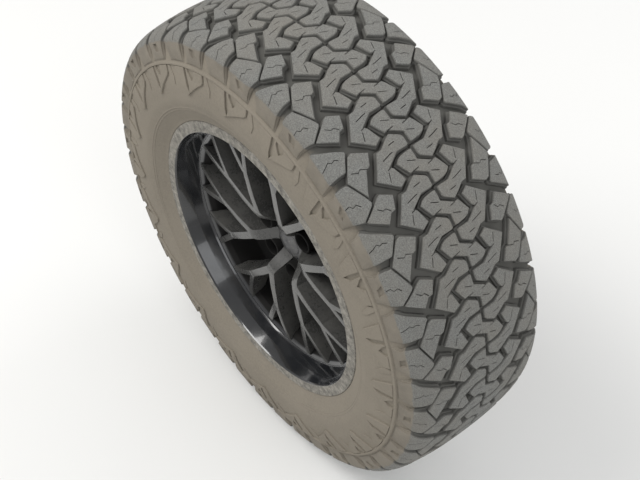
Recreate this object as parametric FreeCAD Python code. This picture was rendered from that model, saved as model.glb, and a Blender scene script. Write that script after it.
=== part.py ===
"""Front wheel end of a lifted off-road 4x4, as solids in millimetres.

The left front corner: axle end yoke, steering knuckle, brake, hub, alloy wheel and tyre.
+Z is up, the wheel turns about the Y axis, its outer face looks along -Y and the vehicle
drives towards -X. The origin is the mouth of the axle tube socket, on the wheel's axis.
Stations along the wheel's axis are Y values; radii are from that axis.
"""
import FreeCAD, Part
import math
import os
from FreeCAD import Vector

# ---------------------------------------------------------------- driving sizes
KINGPIN_Y = -92.0            # steering axis crosses the wheel's axis here
KINGPIN_LEAN = 8.5           # degrees, top towards the vehicle
CLEAR = 5.0                  # between pieces that move past each other
FIT = 0.05                   # radial clearance of a fitted shaft or pilot
RUNNING = 0.3                # gap at a seal, a ball socket or a brake pad

# tyre 35 x 12.50 R20, made of flat faces
TYRE_R = 442.0
SECTION_HALF = 148.0         # half the tyre's widest place
SECTION_R = 346.0            # radius of that widest place
TREAD_REPEATS = 20
FACES = 2                    # flat faces round the tyre in one repeat
TREAD_TURN = 44.8            # degrees, a repeat's middle from +Z towards +X
TREAD_DEPTH = 12.5
CROWN_THICK = 29.0           # tread and belts together
WALL_THICK = 12.0            # sidewall
BEAD_T = 23.0                # bead, along the wheel's axis
FLOOR_HALF = 113.0           # half the width of the level groove floors
FLOOR_END_R = 380.0          # where the floors, going on down the flank, are past its surface
FLOOR_END_HALF = 146.0

# alloy wheel 20 x 9
SEAT_R = 253.8               # bead seat
FLANGE_H = 17.8              # rim flange above the bead seat
FLANGE_T = 12.7              # rim flange along the axis
SEAT_GAP = 228.6             # between the flanges' inner faces
WHEEL_OFFSET = -12.0         # mounting face from the wheel's centre plane, outward positive
WELL_R = 229.0               # drop centre, outside
BARREL_T = 7.0
BARREL_R = 241.0             # barrel between the drop centre and the inner seat, outside
FACE_RING_R = 237.0          # where the spokes meet the lip
FACE_RING_DEPTH = 45.0       # of that place, in from the outer flange face
FACE_RING_T = 7.0
HUB_FACE_DEPTH = 80.0        # of the wheel's centre, in from the outer flange face
PAD_R = 82.0                 # mounting pad
PAD_T = 21.0
BOSS_R = 46.0                # the wheel's centre boss
BORE_R = 35.75               # its pilot bore
POCKET_R = 17.0              # pocket round each lug nut
POCKET_T = 3.5
POCKET_DEPTH = 66.0          # of its mouth, in from the outer flange face
ARM_COUNT = 6
ARM_START = 14.3             # degrees, first arm from +X towards +Z

VALVE_R = 4.4
VALVE_DEPTH = 60.0           # valve's hole, in from the outer flange face

# wheel studs
STUD_CIRCLE_R = 63.5
STUD_R = 7.0
NUT_R = 11.5
NUT_LENGTH = 36.0
NUT_SEAT_R = 9.5
STUD_GAP = 0.8               # between a stud and its hole in the wheel

# brake disc
DISC_R = 165.0
DISC_T = 28.0
DISC_FACE_R = 96.0           # inner edge of the rubbed ring
HAT_R = 86.0
HAT_T = 8.0
HAT_HEIGHT = 32.0            # mounting face to the rubbed ring
VANE_COUNT = 30
VENT = 10.0

# hub and bearing
HUB_FLANGE_R = 76.0
HUB_FLANGE_T = 12.0
SPINDLE_R = 33.0
PILOT_LENGTH = 20.0
BEARING_R = 56.0
BEARING_BODY = 32.0
BEARING_FLANGE_R = 72.0
BEARING_FLANGE_T = 12.0
SHAFT_R = 17.5
SHIELD_T = 1.6
SHIELD_R = 172.0

# universal joint seat on the stub axle
JOINT_SPAN = 92.0            # across the two ears
EAR_T = 15.0
EAR_R = 24.0
CUP_R = 15.1                 # bearing cup bore
JOINT_ROOT = 47.0            # from the joint's centre to the disc that the ears stand on

# knuckle
RING_R = 79.0
RING_T = 32.0
RING_REACH = 85.0            # steering axis to the face that carries the bearing
RING_BORE_R = 47.0
ARM_HALF = 28.0              # half the knuckle's width at the ball joints
EYE_X = -155.0               # tie rod eye
EYE_Y = -96.0
EYE_Z = -34.0
EYE_R = 21.0
EYE_BORE_R = 8.0
EYE_HEIGHT = 34.0

# ball joints, distances along the steering axis from its middle
YOKE_FROM = 74.0
YOKE_TO = 104.0
EAR_FROM = 121.0
EAR_TO = 147.0
BALL_AT = 90.0
BALL_R = 14.0
HOUSING_R = 21.0
YOKE_BOSS_R = 31.0
STUD_SHANK_R = 9.0
STUD_TAPER = 1.5             # the shank's radius is this much less at its nut
NUT_HEIGHT = 15.0
NUT_FLAT_R = 14.0

# axle tube socket
TUBE_R = 38.1
SOCKET_R = 52.0
SOCKET_LENGTH = 50.0
WEB_FROM = 46.0
WEB_TO = 72.0

# brake caliper, in its own frame: X outwards along a radius, turned by CALIPER_ANGLE
CALIPER_ANGLE = 12.0         # degrees above the rearward direction
CALIPER_HALF = 50.0
CALIPER_IN_R = 116.0
BRIDGE_T = 19.0              # caliper body over the disc's edge
PISTON_DEPTH = 50.0
POT_R = 24.0                 # caliper body round each piston
FINGER_T = 14.0
PAD_HALF = 52.0
BRAKE_PAD_T = 15.0
ABUTMENT_T = 15.0            # bracket legs, along the disc's edge
BRACKET_T = 12.0             # bracket ties, along the wheel's axis
BRACKET_LEG = 20.0           # bracket over the disc's edge
BRACKET_FACE = 18.0          # knuckle's lug face, in from its bearing face
PORT_R = 5.0                 # brake hose thread, M10
PORT_LENGTH = 14.0

# ---------------------------------------------------------------- stations along the axis
RIM_WIDTH = SEAT_GAP + 2 * FLANGE_T
FLANGE_R = SEAT_R + FLANGE_H
RING_FACE_Y = KINGPIN_Y - RING_REACH                 # knuckle face that carries the bearing
BEARING_FLANGE_Y = RING_FACE_Y - SHIELD_T
BEARING_FRONT_Y = BEARING_FLANGE_Y - BEARING_FLANGE_T - BEARING_BODY
HUB_BACK_Y = BEARING_FRONT_Y - CLEAR
HUB_FACE_Y = HUB_BACK_Y - HUB_FLANGE_T
MOUNT_Y = HUB_FACE_Y - HAT_T                         # wheel's mounting face
CENTRE_Y = MOUNT_Y + WHEEL_OFFSET                    # wheel's centre plane
OUTER_Y = CENTRE_Y - RIM_WIDTH / 2                   # outer flange face
DISC_OUT_Y = MOUNT_Y + HAT_HEIGHT
DISC_IN_Y = DISC_OUT_Y + DISC_T
JOINT_ROOT_Y = KINGPIN_Y - JOINT_ROOT
BRACKET_Y = RING_FACE_Y + BRACKET_FACE
BRIDGE_IN_R = DISC_R + CLEAR + 1
CALIPER_OUT_R = BRIDGE_IN_R + BRIDGE_T
FACE_RING_IN_R = FACE_RING_R - FACE_RING_T


# ---------------------------------------------------------------- helpers
def outline(points, place):
    """Closed wire through (a, b, corner radius) points, set in space by place(a, b)."""
    flat = [Vector(a, b, 0) for a, b, _ in points]
    spans = []
    for i, (_, _, radius) in enumerate(points):
        here = flat[i]
        back = (flat[i - 1] - here).normalize()
        ahead = (flat[(i + 1) % len(flat)] - here).normalize()
        half = back.getAngle(ahead) / 2
        reach = radius / math.tan(half)
        middle = here
        if radius:
            middle = here + (back + ahead).normalize() * (radius / math.sin(half) - radius)
        spans.append((here + back * reach, middle, here + ahead * reach, radius))
    edges = []
    for i, (start, middle, end, radius) in enumerate(spans):
        if radius:
            edges.append(Part.Arc(place(start.x, start.y), place(middle.x, middle.y),
                                  place(end.x, end.y)).toShape())
        following = spans[(i + 1) % len(spans)][0]
        if end.distanceToPoint(following) > 1e-6:
            edges.append(Part.LineSegment(place(end.x, end.y),
                                          place(following.x, following.y)).toShape())
    return Part.Wire(edges)


def turned(points):
    """Solid of revolution about the wheel's axis from (radius, y, corner radius) points."""
    face = Part.Face(outline(points, lambda r, y: Vector(0, y, r)))
    return face.revolve(Vector(0, 0, 0), Vector(0, 1, 0), 360)


def plain(points):
    """Give each (a, b) point a sharp corner."""
    return [(a, b, 0) for a, b in points]


def ring(inner, outer, y_from, y_to):
    return turned(plain([(inner, y_from), (outer, y_from), (outer, y_to), (inner, y_to)]))


def drum(radius, y_from, y_to, x=0.0, z=0.0):
    """Round bar parallel to the wheel's axis."""
    return Part.makeCylinder(radius, y_to - y_from, Vector(x, y_from, z), Vector(0, 1, 0))


def post(radius, low, high, x=0.0, y=0.0):
    """Round bar parallel to +Z."""
    return Part.makeCylinder(radius, high - low, Vector(x, y, low), Vector(0, 0, 1))


def taper(low_radius, high_radius, low, high):
    """Cone about +Z between two heights."""
    return Part.makeCone(low_radius, high_radius, high - low, Vector(0, 0, low), Vector(0, 0, 1))


def block(x, y, z):
    """Box from its (low, high) pairs."""
    return Part.makeBox(x[1] - x[0], y[1] - y[0], z[1] - z[0], Vector(x[0], y[0], z[0]))


def about_axis(shape, degrees):
    """Copy turned about the wheel's axis, from +X towards +Z."""
    copy = shape.copy()
    copy.rotate(Vector(0, 0, 0), Vector(0, 1, 0), -degrees)
    return copy


def union(shapes):
    return shapes[0].fuse(shapes[1:]).removeSplitter()


def on_kingpin(shape, lower=False):
    """Stand a shape made about +Z on the steering axis, upwards or downwards."""
    copy = shape.copy()
    if lower:
        copy.rotate(Vector(0, 0, 0), Vector(1, 0, 0), 180)
    copy.rotate(Vector(0, 0, 0), Vector(1, 0, 0), -KINGPIN_LEAN)
    copy.translate(Vector(0, KINGPIN_Y, 0))
    return copy


def both_ends(shape):
    """The same piece at the upper and the lower ball joint."""
    return [on_kingpin(shape), on_kingpin(shape, lower=True)]


def upright(points):
    """Solid of revolution about +Z from (radius, z) points."""
    face = Part.Face(outline(plain(points), lambda r, z: Vector(r, 0, z)))
    return face.revolve(Vector(0, 0, 0), Vector(0, 0, 1), 360)


def save(name, shape):
    shape.exportStep("parts/%s.step" % name)


# ---------------------------------------------------------------- tyre
# the tyre's skin from the middle of its crown to the end of its lugs: radius, from the centre plane
SKIN = [(TYRE_R, 0), (TYRE_R, 44), (430, 122), (411, 136), (386, 140)]
# grooves of one repeat's outer half, as seen on the skin: mm round the crown from the repeat's
# middle, mm from the centre plane; the inner half is the same, turned by half a turn
GROOVES = [
    [(-14.5, -142), (-29.5, -132.5), (14, -64.5), (68, -99), (84, -66), (122.8, -95.1),
     (131, -79.2), (85, -49.5), (58, -77), (15.5, -49.5), (-14.2, -79.9), (-15.4, -83),
     (-39.9, -120.5), (-48, -142)],
    [(22.5, -109.5), (29.5, -142), (45.5, -142), (39, -117.5)]]


def flat_faced(points, first, last):
    """Solid about the wheel's axis, with flat faces between two numbers of faces from +Z."""
    step = 2 * math.pi / (TREAD_REPEATS * FACES)
    rows = []
    for k in range(first, last + 1):
        across = Vector(math.sin(k * step), 0, math.cos(k * step))
        rows.append([across * r + Vector(0, CENTRE_Y + y, 0) for r, y in points])
    corners = [rows[0], rows[-1]]
    for here, there in zip(rows, rows[1:]):
        corners += [[here[i - 1], here[i], there[i], there[i - 1]] for i in range(len(points))]
    shell = Part.makeShell([Part.Face(Part.makePolygon(face + face[:1])) for face in corners])
    shell.sewShape()
    solid = Part.makeSolid(shell)
    if solid.Volume < 0:
        solid.reverse()
    return solid


def skin_radius(y):
    for (radius, near), (next_radius, far) in zip(SKIN, SKIN[1:]):
        if abs(y) <= far:
            return radius + (next_radius - radius) * (abs(y) - near) / (far - near)
    return SKIN[-1][0]


def groove(points, repeat):
    """Cutter for one groove, straight-sided along the radius through its middle."""
    middle = (max(u for u, _ in points) + min(u for u, _ in points)) / 2
    base = []
    for u, y in points:
        base.append(Vector(skin_radius(y) * math.sin((u - middle) / TYRE_R), CENTRE_Y + y, SECTION_R))
    face = Part.Face(Part.makePolygon(base + base[:1]))
    tool = face.extrude(Vector(0, 0, TYRE_R - SECTION_R + CLEAR))
    return about_axis(tool, -TREAD_TURN - math.degrees(middle / TYRE_R) - repeat * 360 / TREAD_REPEATS)


def mirrored(half):
    return half + [(r, -y) for r, y in reversed(half)]


def tyre():
    """One repeat, cut between two whole numbers of faces, copied round the wheel."""
    on_seat = SEAT_R / math.cos(math.pi / (TREAD_REPEATS * FACES))
    seat_y = -SEAT_GAP / 2
    skin = [(r, -y) for r, y in SKIN[1:]]
    wall = [(SECTION_R, -SECTION_HALF), (300, -SECTION_HALF + 9), (FLANGE_R + 3, seat_y - FLANGE_T - 1)]
    bead = [(FLANGE_R + 2, seat_y), (on_seat, seat_y), (on_seat, seat_y + BEAD_T)]
    inside = [(SECTION_R - 6, -SECTION_HALF + WALL_THICK), (TYRE_R - CROWN_THICK, -114)]
    section = mirrored(skin + wall + bead + inside)
    above_floor = mirrored([
        (TYRE_R - TREAD_DEPTH, -FLOOR_HALF), (FLOOR_END_R, -FLOOR_END_HALF),
        (FLOOR_END_R, -SECTION_HALF - CLEAR), (TYRE_R + CLEAR, -SECTION_HALF - CLEAR)])
    first = round(TREAD_TURN * TREAD_REPEATS * FACES / 360) - 1
    last = first + FACES
    cutters = []
    for points in GROOVES:
        for outline_points in (points, [(-u, -y) for u, y in points]):
            cutters += [groove(outline_points, repeat) for repeat in (-1, 0, 1)]
    room = cutters[0].fuse(cutters[1:]).common(flat_faced(above_floor, first - 3, last + 3))
    repeat = flat_faced(section, first, last).cut(room)
    return union([about_axis(repeat, k * 360 / TREAD_REPEATS) for k in range(TREAD_REPEATS)])


# ---------------------------------------------------------------- alloy wheel
def at_depth(depth):
    return OUTER_Y + depth


def rim():
    """Lip, barrel and flanges as one turned section."""
    end = RIM_WIDTH
    tyre_side = [(FLANGE_R - 22, 0, 3), (FLANGE_R, 0, 2.5), (FLANGE_R, 6, 3),
                 (SEAT_R + 3, FLANGE_T, 3), (SEAT_R - 0.05, FLANGE_T, 0), (SEAT_R - 0.05, 38, 2),
                 (WELL_R, 60, 8), (WELL_R, 108, 10), (BARREL_R, 134, 12), (SEAT_R - 0.05, 200, 6),
                 (SEAT_R - 0.05, end - FLANGE_T, 0), (SEAT_R + 3, end - FLANGE_T, 3),
                 (FLANGE_R, end - 6, 3), (FLANGE_R, end, 2.5)]
    inner_side = [(FLANGE_R - 12, end, 4), (SEAT_R - BARREL_T, end - 14, 8),
                  (SEAT_R - BARREL_T - 2, 196, 8), (BARREL_R - BARREL_T, 136, 12),
                  (WELL_R - BARREL_T, 110, 10), (WELL_R - BARREL_T, FACE_RING_DEPTH + 15, 4),
                  (FACE_RING_IN_R, FACE_RING_DEPTH + 4, 3), (FACE_RING_R, FACE_RING_DEPTH, 2),
                  (FACE_RING_R + 6, FACE_RING_DEPTH - 21, 20)]
    return turned([(r, at_depth(y), k) for r, y, k in tyre_side + inner_side])


def polar(radius, degrees):
    return Vector(radius * math.cos(math.radians(degrees)), 0,
                  radius * math.sin(math.radians(degrees)))


def bar(start, end, start_width, end_width, depth):
    """Tapered bar with round ends between two points of the wheel's face."""
    along = (end - start).normalize()
    side = Vector(-along.z, 0, along.x)
    corners = [start + side * start_width / 2, end + side * end_width / 2,
               end - side * end_width / 2, start - side * start_width / 2]
    face = Part.Face(Part.makePolygon(corners + corners[:1]))
    body = face.extrude(Vector(0, depth, 0))
    caps = [drum(width / 2, 0, depth, point.x, point.z)
            for point, width in ((start, start_width), (end, end_width))]
    return union([body] + caps)


# one arm: from radius, from angle, to radius, to angle, width at start, width at end
ARM_BARS = [(28, 0, 70, 0, 28, 23),
            (70, 0, 152, 14.5, 17, 14), (70, 0, 152, -14.5, 17, 14),
            (152, 14.5, 235, 7.5, 12, 12), (152, -14.5, 235, -7.5, 12, 12),
            (152, 14.5, 235, 22.5, 12, 12), (152, -14.5, 235, -22.5, 12, 12)]


def spokes():
    """Branching arms between a sunk front and a back, with nut pockets, centre boss and pad."""
    depth = PAD_T + HUB_FACE_DEPTH + 20
    bars = []
    for r1, a1, r2, a2, w1, w2 in ARM_BARS:
        bars.append(bar(polar(r1, a1), polar(r2, a2), w1, w2, depth))
    arm = union(bars)
    arm.translate(Vector(0, OUTER_Y + FACE_RING_DEPTH - 10, 0))
    star = [about_axis(arm, ARM_START + i * 360 / ARM_COUNT) for i in range(ARM_COUNT)]
    pad_front = MOUNT_Y - PAD_T
    dish = turned([(0, at_depth(HUB_FACE_DEPTH), 0), (44, at_depth(HUB_FACE_DEPTH), 4),
                   (66, at_depth(46), 10), (110, at_depth(41), 60), (165, at_depth(41), 60),
                   (FACE_RING_R + 1, at_depth(FACE_RING_DEPTH + 2), 0),
                   (FACE_RING_R + 1, at_depth(FACE_RING_DEPTH + 5), 0),
                   (WELL_R - 4, at_depth(FACE_RING_DEPTH + 14), 0), (WELL_R - 4, at_depth(73), 0),
                   (180, at_depth(80), 20), (PAD_R + 16, pad_front - 4, 20),
                   (PAD_R, MOUNT_Y - 8, 0), (0, MOUNT_Y - 8, 0)])
    arms = union(star).common(dish)
    pockets = [drum(POCKET_R + POCKET_T, at_depth(POCKET_DEPTH), pad_front + 2, place.x, place.z)
               for place in stud_places()]
    boss = ring(BORE_R + FIT, BOSS_R, at_depth(HUB_FACE_DEPTH), MOUNT_Y)
    pad = turned([(BORE_R + FIT, pad_front, 0), (PAD_R, pad_front, 4), (PAD_R, MOUNT_Y, 1.5),
                  (BORE_R + FIT, MOUNT_Y, 0)])
    return [arms, boss, pad] + pockets


def stud_places():
    """Centres of the wheel studs, halfway between the arms."""
    step = 360 / ARM_COUNT
    return [polar(STUD_CIRCLE_R, ARM_START + (i + 0.5) * step) for i in range(ARM_COUNT)]


def valve_place():
    return polar(FACE_RING_R - 5, ARM_START + 180 / ARM_COUNT)


def nut_seat(place):
    """Cone under a lug nut."""
    foot = Vector(place.x, MOUNT_Y - PAD_T, place.z)
    return Part.makeCone(NUT_SEAT_R + 4, STUD_R + STUD_GAP, 8, foot, Vector(0, 1, 0))


def alloy_wheel():
    body = union([rim()] + spokes())
    cuts = [drum(BORE_R + FIT, OUTER_Y, MOUNT_Y)]
    for place in stud_places():
        cuts.append(drum(STUD_R + STUD_GAP, OUTER_Y, MOUNT_Y, place.x, place.z))
        cuts.append(drum(POCKET_R, OUTER_Y, MOUNT_Y - PAD_T, place.x, place.z))
        cuts.append(nut_seat(place))
    place = valve_place()
    valve = drum(VALVE_R + FIT, OUTER_Y, OUTER_Y + VALVE_DEPTH, place.x, place.z)
    return body.cut(union(cuts)).cut(valve)


def valve_stem():
    foot = OUTER_Y + VALVE_DEPTH
    place = valve_place()
    stem = drum(VALVE_R, foot - 40, foot, place.x, place.z)
    cap = drum(VALVE_R - 1.2, foot - 44, foot - 40, place.x, place.z)
    return union([stem, cap])


def centre_cap():
    front = at_depth(HUB_FACE_DEPTH)
    return turned([(0, front - 7, 0), (26, front - 6, 20), (BORE_R + 2.2, front - 2, 2),
                   (BORE_R + 2.2, front, 0), (BORE_R - 0.2, front, 0), (BORE_R - 0.2, front + 14, 1),
                   (BORE_R - 3, front + 14, 0), (BORE_R - 3, front + 2, 0), (0, front + 2, 0)])


def lug_nuts():
    nuts = []
    seat = MOUNT_Y - PAD_T
    for place in stud_places():
        shank = drum(NUT_R, seat - NUT_LENGTH + 4, seat, place.x, place.z)
        tip = Part.makeCone(NUT_R - 4, NUT_R, 4, Vector(place.x, seat - NUT_LENGTH, place.z),
                            Vector(0, 1, 0))
        hole = drum(STUD_R + FIT, seat - NUT_LENGTH + 10, seat + 8, place.x, place.z)
        nuts.append(union([nut_seat(place), shank, tip]).cut(hole))
    return Part.makeCompound(nuts)


# ---------------------------------------------------------------- hub, disc and stub axle
def wheel_studs():
    studs = []
    for place in stud_places():
        studs.append(drum(STUD_R, MOUNT_Y - PAD_T - NUT_LENGTH + 12, HUB_BACK_Y, place.x, place.z))
    return Part.makeCompound(studs)


def hub():
    pilot_end = MOUNT_Y - PILOT_LENGTH
    body = turned([(SHAFT_R + FIT, pilot_end, 0), (BORE_R - 1, pilot_end, 0),
                   (BORE_R, pilot_end + 2, 0), (BORE_R, HUB_FACE_Y, 0),
                   (HUB_FLANGE_R, HUB_FACE_Y, 2), (HUB_FLANGE_R, HUB_BACK_Y, 2),
                   (SPINDLE_R + 12, HUB_BACK_Y, 4), (SPINDLE_R, HUB_BACK_Y + 4, 2),
                   (SPINDLE_R, BEARING_FLANGE_Y, 0), (SHAFT_R + FIT, BEARING_FLANGE_Y, 0)])
    holes = [drum(STUD_R + FIT, HUB_FACE_Y, HUB_BACK_Y, p.x, p.z) for p in stud_places()]
    return body.cut(union(holes))


def brake_disc():
    """Hat and two rubbed rings held apart by vanes."""
    ring_t = (DISC_T - VENT) / 2
    hat = turned([(BORE_R + FIT, MOUNT_Y, 0), (HAT_R, MOUNT_Y, 4), (HAT_R, DISC_OUT_Y + ring_t, 0),
                  (HAT_R - HAT_T, DISC_OUT_Y + ring_t, 0), (HAT_R - HAT_T, HUB_FACE_Y, 3),
                  (BORE_R + FIT, HUB_FACE_Y, 0)])
    outer = turned([(HAT_R - HAT_T, DISC_OUT_Y + 2, 0), (DISC_FACE_R, DISC_OUT_Y + 2, 0),
                    (DISC_FACE_R + 2, DISC_OUT_Y, 0), (DISC_R, DISC_OUT_Y, 1),
                    (DISC_R, DISC_OUT_Y + ring_t, 0), (HAT_R - HAT_T, DISC_OUT_Y + ring_t, 0)])
    inner = ring(DISC_FACE_R, DISC_R, DISC_IN_Y - ring_t, DISC_IN_Y)
    between = (DISC_OUT_Y + ring_t - 0.5, DISC_IN_Y - ring_t + 0.5)
    vane = block((DISC_FACE_R + 2, DISC_R - 3), between, (-3, 3))
    vanes = [about_axis(vane, i * 360 / VANE_COUNT) for i in range(VANE_COUNT)]
    body = union([hat, outer, inner] + vanes)
    holes = [drum(STUD_R + 0.4, MOUNT_Y, HUB_FACE_Y, p.x, p.z) for p in stud_places()]
    return body.cut(union(holes))


def stub_axle():
    """Splined shaft through the hub, ending in the two ears of the universal joint."""
    half = JOINT_SPAN / 2
    root_y = JOINT_ROOT_Y
    shaft = turned(plain([(0, MOUNT_Y - PILOT_LENGTH - 14),
                          (SHAFT_R - 2, MOUNT_Y - PILOT_LENGTH - 14),
                          (SHAFT_R, MOUNT_Y - PILOT_LENGTH - 12), (SHAFT_R, BEARING_FLANGE_Y + 1),
                          (30, BEARING_FLANGE_Y + 1), (30, BEARING_FLANGE_Y + 14),
                          (22, BEARING_FLANGE_Y + 18), (24, root_y), (half - 2, root_y + 2),
                          (half - 2, root_y + 12), (0, root_y + 12)]))
    ears = []
    for side in (-1, 1):
        low, high = sorted((side * half, side * (half - EAR_T)))
        plate = block((low, high), (root_y + 3, KINGPIN_Y), (-EAR_R + 3, EAR_R - 3))
        round_end = Part.makeCylinder(EAR_R, EAR_T, Vector(low, KINGPIN_Y, 0), Vector(1, 0, 0))
        ears += [plate, round_end]
    body = union([shaft] + ears)
    cups = Part.makeCylinder(CUP_R, JOINT_SPAN + 2, Vector(-half - 1, KINGPIN_Y, 0), Vector(1, 0, 0))
    return body.cut(cups)


# ---------------------------------------------------------------- knuckle
def hub_bearing():
    bore = SPINDLE_R + RUNNING
    flange_front = BEARING_FLANGE_Y - BEARING_FLANGE_T
    return turned([(bore, BEARING_FRONT_Y, 0), (BEARING_R - 3, BEARING_FRONT_Y, 2),
                   (BEARING_R, BEARING_FRONT_Y + 6, 2), (BEARING_R, flange_front, 3),
                   (BEARING_FLANGE_R, flange_front, 1.5), (BEARING_FLANGE_R, BEARING_FLANGE_Y, 0),
                   (RING_BORE_R - FIT, BEARING_FLANGE_Y, 0),
                   (RING_BORE_R - FIT, BEARING_FLANGE_Y + 14, 1),
                   (RING_BORE_R - 6, BEARING_FLANGE_Y + 14, 0),
                   (RING_BORE_R - 6, BEARING_FLANGE_Y - 2, 0), (bore, BEARING_FLANGE_Y - 2, 0)])


def plate_yz(points, x_from, x_to):
    """Plate between two X values from (y, z, corner radius) points."""
    face = Part.Face(outline(points, lambda y, z: Vector(x_from, y, z)))
    return face.extrude(Vector(x_to - x_from, 0, 0))


def plate_xz(points, y_from, y_to):
    face = Part.Face(outline(points, lambda x, z: Vector(x, y_from, z)))
    return face.extrude(Vector(0, y_to - y_from, 0))


def plate_xy(points, z_from, z_to):
    face = Part.Face(outline(points, lambda x, y: Vector(x, y, z_from)))
    return face.extrude(Vector(0, 0, z_to - z_from))


def kingpin_y(z):
    return KINGPIN_Y + z * math.tan(math.radians(KINGPIN_LEAN))


def swept_room():
    """Room that the yoke's bosses, the universal joint and the stub axle need in the knuckle."""
    gap = YOKE_BOSS_R + CLEAR
    boss = on_kingpin(post(gap, -EAR_FROM, EAR_FROM))
    spot_face = post(NUT_FLAT_R + 4, EAR_TO, EAR_TO + 2 * NUT_HEIGHT)
    joint = Part.makeSphere(JOINT_SPAN / 2 + 12, Vector(0, KINGPIN_Y, 0))
    ears = drum(math.hypot(JOINT_SPAN / 2, EAR_R - 3) + CLEAR, JOINT_ROOT_Y - CLEAR, KINGPIN_Y + 30)
    shaft = union([drum(RING_BORE_R, RING_FACE_Y, KINGPIN_Y), ears])
    return union([boss, joint, shaft] + both_ends(spot_face))


def knuckle():
    back = RING_FACE_Y + RING_T
    face = RING_FACE_Y
    body = [ring(RING_BORE_R, RING_R, face, back)]
    # arms that reach round the yoke's ball joint bosses
    for sign in (1, -1):
        tip = sign * EAR_TO
        side = [(face + 1, sign * 40, 0), (face + 1, sign * (EAR_FROM + 2), 14),
                (kingpin_y(tip) - 22, tip - sign * 1, 10), (kingpin_y(tip) + 8, tip - sign * 1, 4),
                (kingpin_y(tip) + 4, sign * (EAR_FROM + 3), 2),
                (KINGPIN_Y - 30, sign * (EAR_FROM + 3), 2), (KINGPIN_Y - 30, sign * 40, 0)]
        body.append(plate_yz(side, -ARM_HALF, ARM_HALF))
    body += both_ends(post(ARM_HALF - 2, EAR_FROM, EAR_TO))
    # steering arm to the tie rod
    arm = [(-40, face + 1, 0), (-105, face + 2, 30), (EYE_X - 12, EYE_Y - EYE_R + 3, 10),
           (EYE_X, EYE_Y + EYE_R - 4, 6), (-110, EYE_Y - 2, 30), (-66, back, 12), (-40, back, 0)]
    body.append(plate_xy(arm, EYE_Z - EYE_HEIGHT / 2 + 3, EYE_Z + EYE_HEIGHT / 2 - 3))
    body.append(post(EYE_R, EYE_Z - EYE_HEIGHT / 2, EYE_Z + EYE_HEIGHT / 2, EYE_X, EYE_Y))
    # lugs that carry the caliper bracket
    for sign in (1, -1):
        z = sign * (CALIPER_HALF + 8 + ABUTMENT_T / 2)
        lug = [(40, sign * 20, 0), (70, z + sign * 14, 12), (CALIPER_IN_R + 6, z + sign * 14, 10),
               (CALIPER_IN_R + 6, z - sign * 14, 10), (78, sign * 22, 10)]
        body.append(about_axis(plate_xz(lug, BRACKET_Y, back), CALIPER_ANGLE))
    whole = union(body).cut(swept_room())
    low_r = STUD_SHANK_R + FIT
    bores = both_ends(taper(low_r, low_r - STUD_TAPER, EAR_FROM - 1, EAR_TO + 1))
    eye = post(EYE_BORE_R, EYE_Z - EYE_HEIGHT / 2 - 1, EYE_Z + EYE_HEIGHT / 2 + 1, EYE_X, EYE_Y)
    return whole.cut(union(bores + [eye]))


def ball_joint_housings():
    """Round housings pressed into the yoke, each with the socket of its ball."""
    solid = upright([(0, YOKE_FROM - 4), (HOUSING_R - 5, YOKE_FROM - 4), (HOUSING_R, YOKE_FROM),
                     (HOUSING_R, YOKE_TO), (HOUSING_R + 3, YOKE_TO), (HOUSING_R + 3, YOKE_TO + 4),
                     (0, YOKE_TO + 4)])
    socket = Part.makeSphere(BALL_R + RUNNING, Vector(0, 0, BALL_AT))
    mouth = taper(STUD_SHANK_R + 2, STUD_SHANK_R + 5, BALL_AT, YOKE_TO + 5)
    return Part.makeCompound(both_ends(solid.cut(socket).cut(mouth)))


def ball_joint_boots():
    low = YOKE_TO + 4
    high = EAR_FROM - RUNNING
    boot = upright([(STUD_SHANK_R + 6, low), (HOUSING_R + 1, low), (HOUSING_R + 2, low + 3),
                    (HOUSING_R - 2, (low + high) / 2), (STUD_SHANK_R + 5, high),
                    (STUD_SHANK_R + 2, high), (STUD_SHANK_R + 2, high - 3),
                    (HOUSING_R - 5, (low + high) / 2)])
    return Part.makeCompound(both_ends(boot))


def ball_studs():
    """Ball, tapered shank and nut of each ball joint."""
    ball = Part.makeSphere(BALL_R, Vector(0, 0, BALL_AT))
    neck = post(STUD_SHANK_R - 1, BALL_AT, EAR_FROM)
    shank = taper(STUD_SHANK_R, STUD_SHANK_R - STUD_TAPER, EAR_FROM, EAR_TO)
    tail = post(STUD_SHANK_R - 2, EAR_TO, EAR_TO + NUT_HEIGHT + 6)
    corners = [polar(NUT_FLAT_R, 60 * i) for i in range(7)]
    hexagon = [Vector(corner.x, corner.z, EAR_TO) for corner in corners]
    nut = Part.Face(Part.makePolygon(hexagon)).extrude(Vector(0, 0, NUT_HEIGHT))
    return Part.makeCompound(both_ends(union([ball, neck, shank, tail, nut])))


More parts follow.
